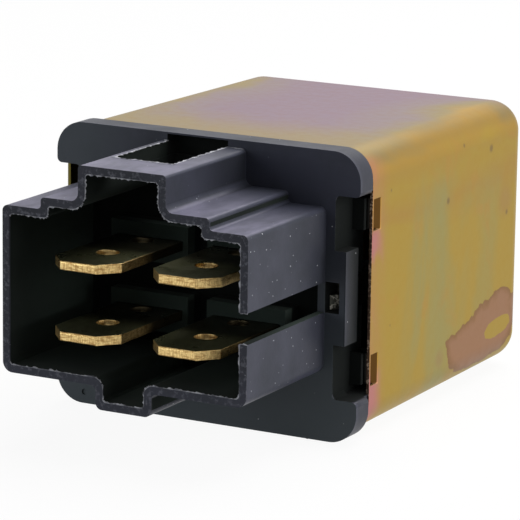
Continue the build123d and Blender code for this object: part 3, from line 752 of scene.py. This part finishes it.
    def drifted(self, chain: NodeChain, colour: Socket) -> Socket:
        """Return a colour with the drifts of the film along the can.

        Args:
            chain: Chain of the can's material.
            colour: Colour of the film.

        Returns:
            The drifted colour.
        """
        behind, above = chain.way(Way.BEHIND), chain.way(Way.ABOVE)
        side = chain.either(chain.zone(self.side_wall), chain.zone(self.end_wall))
        drift = chain.noise(scale=(0.14, 0.16, 0.05), detail=5, distortion=0.5)
        swayed = chain.swayed(behind, drift, self.drift_sway)
        wide = chain.both(chain.band(swayed, *self.wide_drift), chain.zone(self.wide_drift_top),
                          chain.span(drift, *self.wide_drift_clouds), side)
        thin = chain.both(chain.band(swayed, *self.thin_drift), chain.zone(self.thin_drift_top), side)
        blush = chain.noise(scale=(0.3, 0.22, 0.20), detail=5, distortion=0.8)
        pink = chain.both(chain.zone(self.pink_rim), chain.span(drift, *self.pink_clouds), side)
        blot = chain.swayed(above, drift, self.blot_sway)
        blots = chain.either(chain.band(blot, *self.low_blot), chain.band(blot, *self.high_blot))
        strip = chain.span(chain.swayed(behind, drift, self.strip_sway), *self.strip)
        return chain.coats(
            colour,
            (wide, self.green),
            (thin, self.green),
            (chain.both(chain.span(blush, *self.blush), side), self.orange),
            (pink, self.pink),
            (chain.both(blots, chain.zone(self.blot_reach), side), self.magenta),
            (chain.both(strip, chain.zone(self.upward)), self.olive),
        )

    def build(self) -> bpy.types.Material:
        """Return the can's material.

        Returns:
            The finished material.
        """
        chain = NodeChain("can_plating_finish")
        mottle = chain.noise(scale=1.1, detail=6, roughness=0.6)
        film = self.drifted(chain, self.wall(chain))
        mottled = chain.mix(chain.span(mottle, *self.mottling), film, self.orange)
        reach = self.patch.reach(chain, chain.noise(scale=0.6, detail=4))
        brown = chain.mix(chain.span(reach, *self.patch_edge), self.stain, self.outline)
        island = self.island.mask(chain, self.island.reach(chain, mottle))
        colour = chain.coats(self.blotches.laid(chain, mottled), (self.patch.mask(chain, reach), brown),
                             (island, self.gold))
        bare = chain.mix(chain.span(chain.noise(scale=4.0), *self.burr_clouds), self.bare, self.burr)
        colour = chain.coats(
            self.specks.laid(chain, colour),
            (chain.zone(*self.rim_edge), bare),
            (chain.zone(*self.rim_tab), self.tab),
            # Painted shade in the slots.
            (chain.zone(*self.slots), self.painted_slot_shade),
            (chain.zone(*self.hidden), self.unlit),
        )
        normal = chain.bump(chain.noise(scale=(2.4, 0.18, 2.4)), self.drawn_strength, self.drawn_depth)
        return chain.finish(base_color=colour, roughness=chain.span(mottle, *self.roughness),
                            metallic=self.metallic, normal=normal, specular_ior_level=self.specular)


@dataclass(frozen=True)
class StampedBrass:
    """Blade brass: bright sheared edges with fine upright lines, and flat faces dulled to dark olive."""

    edge: Colour = paint(228, 200, 136)
    torn: Colour = paint(150, 112, 60)
    face: Colour = paint(122, 123, 90)
    tarnish: Colour = paint(88, 88, 66)
    # Painted shade near the blades' roots, deep in the mouth and just behind the flange.
    painted_root_shade: Colour = paint(40, 38, 28)
    roughness: Fade = (0.3, 0.7, 0.26, 0.42)
    metallic: float = 0.85
    scratch_depth: float = 0.006 * MM
    scratch_strength: float = 0.3
    shear_depth: float = 0.02 * MM
    shear_strength: float = 0.6
    tarnish_clouds: Fade = (0.3, 0.75)
    upright_lines: Fade = (0.42, 0.66, 0.0, 0.8)
    level_lines: Fade = (0.48, 0.60, 0.0, 0.8)
    flat_faces: Limit = (Way.LYING, 0.93, 0.99)
    shaded_roots: Zone = ((Way.BEHIND, -8.0, -5.6, 0.0, 0.95), (Way.BEHIND, 0.5, 3.0, 1.0, 0.0))

    def build(self) -> bpy.types.Material:
        """Return the blades' material.

        Returns:
            The finished material.
        """
        chain = NodeChain("blade_brass_finish")
        cloud = chain.noise(scale=0.42, detail=5)
        shear = chain.noise(scale=(9.0, 9.0, 1.6), detail=4, roughness=0.7)
        layer = chain.noise(scale=(1.6, 1.6, 8.0), detail=4, roughness=0.7)
        face = chain.mix(chain.span(cloud, *self.tarnish_clouds), self.face, self.tarnish)
        colour = chain.coats(
            self.edge,
            (chain.span(shear, *self.upright_lines), self.torn),
            (chain.span(layer, *self.level_lines), self.torn),
            (chain.zone(self.flat_faces), face),
            # Painted shade near the roots.
            (chain.zone(*self.shaded_roots), self.painted_root_shade),
        )
        scratches = chain.noise(scale=(5.2, 0.3, 5.2))
        normal = chain.bump(scratches, self.scratch_strength, self.scratch_depth)
        normal = chain.bump(shear, self.shear_strength, self.shear_depth, normal)
        return chain.finish(base_color=colour, roughness=chain.span(cloud, *self.roughness),
                            metallic=self.metallic, normal=normal)


@dataclass(frozen=True)
class PlainFinish:
    """Finish for a piece inside the can: a base colour with cloud, grain and some roughness change."""

    name: str
    light: Colour
    dark: Colour
    roughness: float
    metallic: float = 0.0
    grain: float | tuple[float, float, float] = 1.8
    depth: float = 0.01 * MM
    strength: float = 0.4
    smoother: float = 0.06
    rougher: float = 0.08
    clouds: Fade = (0.3, 0.7)
    # Painted shade on a piece's front where it comes through the flange, with painted glints near its end.
    front_shade_share: float = 0.0
    painted_front_shade: Colour = paint(30, 33, 27)
    front_shade_reach: tuple[float, float] = (5.5, 7.5)
    glints: Fade = (0.50, 0.60, 0.0, 0.6)
    glint_reach: Limit = (Way.BEHIND, 1.4, 1.8, 1.0, 0.0)

    def build(self) -> bpy.types.Material:
        """Return the material, with painted shade and painted glints where a piece comes through the flange.

        Returns:
            The finished material.
        """
        chain = NodeChain(self.name)
        cloud = chain.noise(scale=0.3, detail=4)
        colour = chain.mix(chain.span(cloud, *self.clouds), self.light, self.dark)
        # Painted shade on the front of the piece, and painted glints near its very end.
        if self.front_shade_share > 0:
            glint = chain.span(chain.noise(scale=3.0), *self.glints)
            glint = chain.both(glint, chain.zone(self.glint_reach))
            front = chain.zone((Way.BEHIND, *self.front_shade_reach, self.front_shade_share, 0.0))
            colour = chain.mix(front, colour, chain.mix(glint, self.painted_front_shade, self.light))
        grain = chain.noise(scale=self.grain)
        rough = chain.span(grain, *self.clouds, self.roughness - self.smoother,
                           self.roughness + self.rougher)
        return chain.finish(base_color=colour, roughness=rough, metallic=self.metallic,
                            normal=chain.bump(grain, self.strength, self.depth))


FINISHES: dict[Slot, object] = {
    Slot.HEADER: HeaderPlastic(),
    Slot.CAN: ChromatePlating(),
    Slot.BLADE: StampedBrass(),
    Slot.YOKE: PlainFinish("yoke_steel_finish", (0.50, 0.48, 0.42), (0.36, 0.35, 0.32), 0.42, 1.0,
                           front_shade_share=0.9),
    Slot.CORE: PlainFinish("core_steel_finish", (0.58, 0.57, 0.55), (0.44, 0.43, 0.42), 0.34, 1.0),
    Slot.BOBBIN: PlainFinish("bobbin_plastic_finish", (0.42, 0.38, 0.30), (0.34, 0.30, 0.24), 0.5),
    Slot.COPPER: PlainFinish("coil_copper_finish", (0.62, 0.24, 0.08), (0.42, 0.14, 0.05), 0.3, 0.9,
                             grain=(0.3, 9.0, 0.3), depth=0.04 * MM),
    Slot.RESISTOR: PlainFinish("resistor_coat_finish", (0.20, 0.36, 0.50), (0.15, 0.28, 0.40), 0.35),
    Slot.ARMATURE: PlainFinish("armature_steel_finish", (0.52, 0.50, 0.45), (0.40, 0.38, 0.34), 0.38, 1.0),
    Slot.LEAF: PlainFinish("leaf_bronze_finish", (0.72, 0.42, 0.22), (0.56, 0.31, 0.16), 0.3, 1.0),
    Slot.RIVET: PlainFinish("rivet_steel_finish", (0.60, 0.60, 0.58), (0.48, 0.48, 0.46), 0.35, 1.0),
    Slot.SILVER: PlainFinish("contact_silver_finish", (0.82, 0.80, 0.76), (0.62, 0.60, 0.56), 0.28, 1.0),
    Slot.WIRE: PlainFinish("spring_wire_finish", (0.50, 0.50, 0.52), (0.38, 0.38, 0.40), 0.3, 1.0),
    Slot.BRAID: PlainFinish("braid_copper_finish", (0.66, 0.30, 0.13), (0.40, 0.17, 0.07), 0.38, 0.9,
                            grain=(3.6, 1.5, 3.6), depth=0.06 * MM),
}


class Wardrobe:
    """Builds each finish once and hands it out by slot."""

    def __init__(self) -> None:
        """Start with no finish built and no piece dressed."""
        self.built: dict[Slot, bpy.types.Material] = {}
        self.worn: dict[str, Slot] = {}

    def material(self, slot: Slot) -> bpy.types.Material:
        """Return the material of a slot, building it the first time.

        Args:
            slot: Slot whose finish is wanted.

        Returns:
            The one material of the slot.
        """
        if slot not in self.built:
            self.built[slot] = FINISHES[slot].build()
        return self.built[slot]

    def dress(self, piece: bpy.types.Object, slot: Slot) -> None:
        """Give a piece the one finish of a slot.

        Args:
            piece: Object to dress.
            slot: Slot whose finish it takes.
        """
        piece.data.materials.clear()
        piece.data.materials.append(self.material(slot))
        self.worn[piece.name] = slot

    def stand_in(self, piece: bpy.types.Object, slot: Slot, node: str) -> None:
        """Dress a piece that takes the place of a node of the relay's fixed body.

        Args:
            piece: The new piece.
            slot: Slot whose finish it takes.
            node: Node that it stands for.
        """
        self.dress(piece, slot)
        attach(piece, Body.BASE.value)
        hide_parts(node)


def set_down(shape: bmesh.types.BMesh, name: str) -> bpy.types.Object:
    """Make a mesh an object of the scene.

    Args:
        shape: Mesh, which is freed.
        name: Name of the new piece.

    Returns:
        The new object, at the origin.
    """
    mesh = bpy.data.meshes.new(name)
    shape.to_mesh(mesh)
    shape.free()
    piece = bpy.data.objects.new(name, mesh)
    bpy.context.scene.collection.objects.link(piece)
    return piece


class OpenSky:
    """Tells how much of its surroundings a face sees past the relay's own walls."""

    def __init__(self, nodes: Sequence[str], rays: int = 32, reach: float = 25 * MM) -> None:
        """Gather the walls and spread the looking directions over a half sphere.

        Args:
            nodes: Nodes that block the view.
            rays: Looking directions for each place.
            reach: How far a wall still counts.
        """
        walls = bmesh.new()
        for node in nodes:
            walls.from_mesh(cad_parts[node].data)
        self.tree = BVHTree.FromBMesh(walls)
        walls.free()
        self.reach = reach
        golden_turn = pi * (3 - sqrt(5))
        self.directions = []
        for index in range(rays):
            share = (index + 0.5) / rays
            turn = index * golden_turn
            flat = sqrt(share)
            self.directions.append(Vector((flat * cos(turn), flat * sin(turn), sqrt(1 - share))))

    def blocked(self, point: Vector, outward: Vector, lift: float = 0.02 * MM) -> float:
        """Return the share of directions that meet a wall.

        Args:
            point: Place on the surface.
            outward: Direction away from the surface.
            lift: Height above the surface to look from.

        Returns:
            Share from zero, in the open, to one, shut in.
        """
        turn = outward.to_track_quat("Z", "Y")
        eye = point + outward * lift
        hits = sum(
            self.tree.ray_cast(eye, turn @ direction, self.reach)[0] is not None
            for direction in self.directions
        )
        return hits / len(self.directions)

    def mark(self, shape: bmesh.types.BMesh) -> None:
        """Write on each face how much of its view is blocked, averaged over its area.

        Args:
            shape: Mesh that has a depth layer on its faces.
        """
        layer = shape.faces.layers.float[Mark.DEPTH.value]
        area: dict[int, float] = {}
        total: dict[int, float] = {}
        shape.faces.index_update()
        for loops in shape.calc_loop_triangles():
            face = loops[0].face
            corners = [loop.vert.co for loop in loops]
            size = area_tri(*corners)
            middle = sum(corners, Vector()) / len(corners)
            area[face.index] = area.get(face.index, 0.0) + size
            total[face.index] = total.get(face.index, 0.0) + size * self.blocked(middle, face.normal)
        for face in shape.faces:
            if area.get(face.index, 0.0) > 0.0:
                face[layer] = total[face.index] / area[face.index]


@dataclass(frozen=True)
class EdgeSoftener:
    """Small round on the sharp edges of a piece that keeps a node's own shape."""

    width: float = 0.06 * MM
    segments: int = 2
    sharp_degrees: float = 32.0
    flat_degrees: float = 0.5
    merge: float = 0.0005 * MM

    def merged(self, node: str) -> bmesh.types.BMesh:
        """Return a mesh of a CAD node with its doubles merged and its flats joined.

        Args:
            node: Name of the CAD node.

        Returns:
            The mesh, with empty layers for its marks.
        """
        shape = bmesh.new()
        shape.from_mesh(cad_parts[node].data)
        for mark in Mark:
            shape.faces.layers.float.new(mark.value)
        bmesh.ops.remove_doubles(shape, verts=shape.verts, dist=self.merge)
        bmesh.ops.dissolve_degenerate(shape, edges=shape.edges, dist=self.merge)
        bmesh.ops.dissolve_limit(
            shape, angle_limit=radians(self.flat_degrees), verts=shape.verts, edges=shape.edges,
            delimit={"NORMAL"},
        )
        return shape

    def soften(self, shape: bmesh.types.BMesh) -> None:
        """Round the sharp edges and mark the rounds as worn.

        Args:
            shape: Mesh to round.
        """
        limit = radians(self.sharp_degrees)
        sharp = [edge for edge in shape.edges if edge.is_manifold and edge.calc_face_angle(0.0) > limit]
        rounded = bmesh.ops.bevel(
            shape, geom=sharp, offset=self.width, offset_type="OFFSET", affect="EDGES",
            segments=self.segments, profile=0.5, material=-1, clamp_overlap=True,
        )
        wear = shape.faces.layers.float[Mark.WEAR.value]
        for face in rounded["faces"]:
            face[wear] = Wear.SOFTENED.value

    def piece(self, shape: bmesh.types.BMesh, name: str) -> bpy.types.Object:
        """Return the finished object of a mesh, shaded smooth but for its sharp edges.

        Args:
            shape: Mesh to finish, which is freed.
            name: Name of the new piece.

        Returns:
            The new object, at the origin.
        """
        limit = radians(self.sharp_degrees)
        for face in shape.faces:
            face.smooth = True
        for edge in shape.edges:
            edge.smooth = edge.calc_face_angle(0.0) < limit
        piece = set_down(shape, name)
        weighted = piece.modifiers.new("flat_faces_first", "WEIGHTED_NORMAL")
        weighted.keep_sharp = True
        return piece

    def copy(self, node: str, sky: OpenSky | None = None) -> bpy.types.Object:
        """Return a softened copy of a CAD node.

        Args:
            node: Name of the CAD node.
            sky: Where given, marks how boxed in each face is.

        Returns:
            The new object, at the origin.
        """
        shape = self.merged(node)
        self.soften(shape)
        if sky is not None:
            sky.mark(shape)
        return self.piece(shape, f"{node}_dressed")


@dataclass
class MouldFlash:
    """Ragged skin of plastic left along the inner edges of the mouth and of the tower's window."""

    mouth: float = STATION.place(0, STATION.mouth, 0).y
    roof: float = STATION.place(0, 0, STATION.tower_top).z
    near: float = 0.01 * MM
    sunk: float = 0.16 * MM
    upright: float = 0.5
    step: float = 0.16 * MM
    mouth_reach: float = 0.17 * MM
    roof_reach: float = 0.26 * MM
    least_share: float = 0.15
    raggedness: float = 1.6
    thickness: float = 0.04 * MM
    widest_gap: float = 25 * MM
    seed: int = 7
    order: tuple[float, float, float] = (1.0, 31.7, 977.3)

    def edges(self, sky: OpenSky) -> list[tuple[Vector, Vector, Vector, float]]:
        """Return the edges that carry flash.

        Args:
            sky: Walls that tell an inner edge from an outer one.

        Returns:
            Start, end, inward direction and widest flash of each edge.
        """
        shape = EdgeSoftener().merged("base_header")
        found = []
        for axis, level, outward, reach in ((1, self.mouth, Vector((0, -1, 0)), self.mouth_reach),
                                            (2, self.roof, Vector((0, 0, 1)), self.roof_reach)):
            for edge in shape.edges:
                start, end = (vert.co.copy() for vert in edge.verts)
                off_level = max(abs(start[axis] - level), abs(end[axis] - level))
                if off_level > self.near or len(edge.link_faces) != 2:
                    continue
                walls = [face for face in edge.link_faces if abs(face.normal.dot(outward)) < self.upright]
                if len(walls) != 1:
                    continue
                inward = walls[0].normal.copy()
                eye = (start + end) / 2 + inward * self.near - outward * self.sunk
                if sky.tree.ray_cast(eye, inward, self.widest_gap)[0] is not None:
                    found.append((start, end, inward, reach))
        shape.free()
        return found

    def build(self, sky: OpenSky) -> bpy.types.Object:
        """Return the flash as one piece of thin ragged strips.

        Args:
            sky: Walls of the header.

        Returns:
            The new object, at the origin.
        """
        draw = random.Random(self.seed)
        shape = bmesh.new()
        wear = shape.faces.layers.float.new(Mark.WEAR.value)
        for start, end, inward, reach in self.edges(sky):
            count = max(2, round((end - start).length / self.step))
            reaches = [reach * draw.uniform(self.least_share, 1.0) ** self.raggedness
                       for _ in range(count + 1)]
            strip = bmesh.ops.create_grid(shape, x_segments=count, y_segments=1, size=0.5)["verts"]
            for vert in strip:
                column = round((vert.co.x + 0.5) * count)
                across = vert.co.y + 0.5
                vert.co = start.lerp(end, column / count) + inward * (across * reaches[column])
            faces = list(dict.fromkeys(face for vert in strip for face in vert.link_faces))
            bmesh.ops.recalc_face_normals(shape, faces=faces)
            bmesh.ops.solidify(shape, geom=faces, thickness=self.thickness)
        for face in shape.faces:
            face[wear] = Wear.TORN.value
        bmesh.ops.recalc_face_normals(shape, faces=shape.faces)
        # The sides of the strips come in a new order each run, so all is put in order by its place.
        shape.verts.sort(key=lambda vert: vert.co.dot(self.order))
        shape.faces.sort(key=lambda face: face.calc_center_median().dot(self.order))
        return set_down(shape, "header_flash")


@dataclass(frozen=True)
class Lamp:
    """Soft square lamp: its place from the camera's aim in metres, its side, watts and colour."""

    name: str
    offset: tuple[float, float, float]
    side: float
    power: float
    colour: Colour

    def hang(self, aim: Vector) -> None:
        """Add the lamp and turn it to face the relay.

        Args:
            aim: Point that it faces.
        """
        data = bpy.data.lights.new(self.name, "AREA")
        data.shape = "SQUARE"
        data.size = self.side
        data.energy = self.power
        data.color = self.colour
        lamp = bpy.data.objects.new(self.name, data)
        lamp.location = aim + Vector(self.offset)
        lamp.rotation_euler = (lamp.location - aim).to_track_quat("Z", "Y").to_euler()
        bpy.context.scene.collection.objects.link(lamp)


@dataclass
class Studio:
    """Pale floor, soft lamps and the camera of the photograph."""

    azimuth: float = 28.52
    elevation: float = 12.668
    roll: float = 0.784
    distance: float = 279.15 * MM
    aim: Vector = field(default_factory=lambda: STATION.place(5.243, 0.0, 2.371))
    focal_pixels: float = 3390.3
    frame_pixels: float = 520.0
    sensor: float = 36.0
    clip_ratio: float = 100.0
    lamps: tuple[Lamp, ...] = (
        Lamp("top_lamp", (0.05, 0.20, 0.42), 0.4, 2.3, (1.0, 0.99, 0.99)),
        Lamp("right_lamp", (0.5, 0.08, 0.12), 0.35, 2.1, (1.0, 0.99, 0.98)),
        Lamp("front_lamp", (-0.35, -0.42, 0.12), 0.3, 0.6, (0.88, 0.94, 1.0)),
    )
    floor_size: float = 3.0
    ambient: float = 0.10
    floor_seen: Colour = (0.94, 0.94, 0.94)
    floor_bounce: Colour = (0.22, 0.22, 0.22)
    floor_glow: float = 0.93
    floor_roughness: float = 0.8

    def camera(self) -> None:
        """Place the camera and make it the scene's own."""
        turn, rise, lean = radians(self.azimuth), radians(self.elevation), radians(self.roll)
        back = Vector((sin(turn) * cos(rise), -cos(turn) * cos(rise), sin(rise)))
        level = Vector((cos(turn), sin(turn), 0.0))
        above = back.cross(level)
        right = cos(lean) * level + sin(lean) * above
        up = -sin(lean) * level + cos(lean) * above
        data = bpy.data.cameras.new("photo_camera")
        data.sensor_width = self.sensor
        data.sensor_fit = "HORIZONTAL"
        data.lens = self.focal_pixels / self.frame_pixels * self.sensor
        data.clip_start = self.distance / self.clip_ratio
        data.clip_end = self.distance * self.clip_ratio
        camera = bpy.data.objects.new("photo_camera", data)
        place = self.aim + back * self.distance
        camera.matrix_world = Matrix((
            (right.x, up.x, back.x, place.x),
            (right.y, up.y, back.y, place.y),
            (right.z, up.z, back.z, place.z),
            (0.0, 0.0, 0.0, 1.0),
        ))
        bpy.context.scene.collection.objects.link(camera)
        bpy.context.scene.camera = camera

    def behind_all(self, tree: bpy.types.NodeTree) -> Socket:
        """Return one where the camera, a gloss or a clear pane looks straight at a surface.

        Args:
            tree: Node tree of the floor or the world.

        Returns:
            The mask socket.
        """
        path = tree.nodes.new("ShaderNodeLightPath")
        seen = path.outputs["Is Camera Ray"]
        for name in ("Is Glossy Ray", "Is Transmission Ray"):
            either = tree.nodes.new("ShaderNodeMath")
            either.operation = "MAXIMUM"
            tree.links.new(seen, either.inputs[0])
            tree.links.new(path.outputs[name], either.inputs[1])
            seen = either.outputs[0]
        return seen

    def world(self) -> None:
        """Light the scene softly and show plain white behind it."""
        world = bpy.data.worlds.new("studio")
        world.use_nodes = True
        tree = world.node_tree
        tree.nodes.clear()
        output = tree.nodes.new("ShaderNodeOutputWorld")
        mixed = tree.nodes.new("ShaderNodeMixShader")
        tree.links.new(self.behind_all(tree), mixed.inputs[0])
        for socket, strength in ((mixed.inputs[1], self.ambient), (mixed.inputs[2], 1.0)):
            light = tree.nodes.new("ShaderNodeBackground")
            light.inputs["Color"].default_value = (1.0, 1.0, 1.0, 1.0)
            light.inputs["Strength"].default_value = strength
            tree.links.new(light.outputs[0], socket)
        tree.links.new(mixed.outputs[0], output.inputs["Surface"])
        bpy.context.scene.world = world

    def floor(self) -> None:
        """Lay the pale floor, which shows white with a soft shadow and throws little light back."""
        shape = bmesh.new()
        bmesh.ops.create_grid(shape, x_segments=1, y_segments=1, size=self.floor_size / 2)
        floor = set_down(shape, "floor")
        chain = NodeChain("floor_finish")
        seen = self.behind_all(chain.tree)
        colour = chain.mix(seen, self.floor_bounce, self.floor_seen)
        chain.finish(base_color=colour, roughness=self.floor_roughness)
        mixed = chain.node("MixShader", Fac=chain.both(seen, self.floor_glow))
        chain.feed(mixed.inputs[1], chain.shader.outputs["BSDF"])
        chain.feed(mixed.inputs[2], chain.node("Emission").outputs[0])
        chain.feed(chain.output.inputs["Surface"], mixed.outputs[0])
        floor.data.materials.append(chain.material)

    def build(self) -> None:
        """Set up the floor, the world, the lamps and the camera."""
        self.floor()
        self.world()
        for lamp in self.lamps:
            lamp.hang(self.aim)
        self.camera()


@dataclass
class Housing:
    """The moulded header with its flash, and the drawn can."""

    header_softener: EdgeSoftener = EdgeSoftener(width=0.08 * MM)
    can_softener: EdgeSoftener = EdgeSoftener(width=0.05 * MM)

    def build(self, wardrobe: Wardrobe) -> None:
        """Dress the header and the can.

        Args:
            wardrobe: Source of the finishes.
        """
        sky = OpenSky(("base_header", "can"))
        wardrobe.stand_in(self.header_softener.copy("base_header", sky), Slot.HEADER, "base_header")
        wardrobe.stand_in(self.can_softener.copy("can"), Slot.CAN, "can")
        flash = MouldFlash().build(sky)
        wardrobe.dress(flash, Slot.HEADER)
        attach(flash, Body.BASE.value)


@dataclass
class Blades:
    """The four stamped blades, with the small round that tumbling leaves on their edges."""

    nodes: tuple[str, ...] = (
        "terminal_load", "terminal_common", "terminal_coil_left", "terminal_coil_right",
    )
    softener: EdgeSoftener = EdgeSoftener(width=0.10 * MM, segments=3)

    def build(self, wardrobe: Wardrobe) -> None:
        """Dress each blade with the finishes of a wardrobe."""
        for node in self.nodes:
            wardrobe.stand_in(self.softener.copy(node), Slot.BLADE, node)


@dataclass
class Followers:
    """The braid and the return spring, which bend between the fixed body and the armature."""

    bends: tuple[tuple[str, Slot, float, float], ...] = (
        ("braid_lead", Slot.BRAID, 19.3, 28.0),
        ("return_spring", Slot.WIRE, 17.0, 29.0),
    )
    step: float = 0.75
    softener: EdgeSoftener = EdgeSoftener()

    def divide(self, shape: bmesh.types.BMesh, start: float, end: float) -> None:
        """Cut a mesh across its length, so that it bends smoothly.

        Args:
            shape: Mesh to cut.
            start: Distance behind the flange where the bend starts.
            end: Distance behind the flange where it ends.
        """
        count = round((end - start) / self.step)
        for index in range(count + 1):
            cut = STATION.place(0, start + (end - start) * index / count, 0)
            geometry = [*shape.verts, *shape.edges, *shape.faces]
            bmesh.ops.bisect_plane(shape, geom=geometry, plane_co=cut, plane_no=(0, 1, 0))

    def build(self, wardrobe: Wardrobe) -> None:
        """Dress both pieces and let them bend.

        Args:
            wardrobe: Source of the finishes.
        """
        for node, slot, start, end in self.bends:
            shape = self.softener.merged(node)
            self.divide(shape, start, end)
            piece = self.softener.piece(shape, f"{node}_dressed")
            wardrobe.dress(piece, slot)
            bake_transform(piece, Body.BASE.value, Body.ARMATURE.value,
                     start=STATION.place(0, start, 0), end=STATION.place(0, end, 0))
            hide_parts(node)


@dataclass
class Works:
    """Everything that keeps its CAD mesh: the pieces inside the can."""

    finishes: tuple[tuple[str, Slot], ...] = (
        ("yoke", Slot.YOKE),
        ("core", Slot.CORE),
        ("bobbin", Slot.BOBBIN),
        ("coil_winding", Slot.COPPER),
        ("coil_lead_left", Slot.COPPER),
        ("coil_lead_right", Slot.COPPER),
        ("suppression_resistor", Slot.RESISTOR),
        ("armature", Slot.ARMATURE),
        ("contact_spring", Slot.LEAF),
        ("armature_rivets", Slot.RIVET),
        ("moving_contact", Slot.SILVER),
        ("fixed_contact", Slot.SILVER),
        ("armature_stop", Slot.YOKE),
    )

    def build(self, wardrobe: Wardrobe) -> None:
        """Dress each node with the finishes of a wardrobe."""
        for node, slot in self.finishes:
            wardrobe.dress(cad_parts[node], slot)


def main() -> None:
    """Build the relay's looks in order and report each piece."""
    logging.basicConfig(level=logging.INFO, format="%(name)s: %(message)s")
    bpy.context.scene.view_settings.view_transform = "Standard"
    Studio().build()
    LOG.info("studio ready")
    wardrobe = Wardrobe()
    for assembly in (Housing(), Blades(), Followers(), Works()):
        assembly.build(wardrobe)
    for name, slot in wardrobe.worn.items():
        LOG.info("%s wears %s", name, slot.value)


if __name__ == "__main__":
    main()
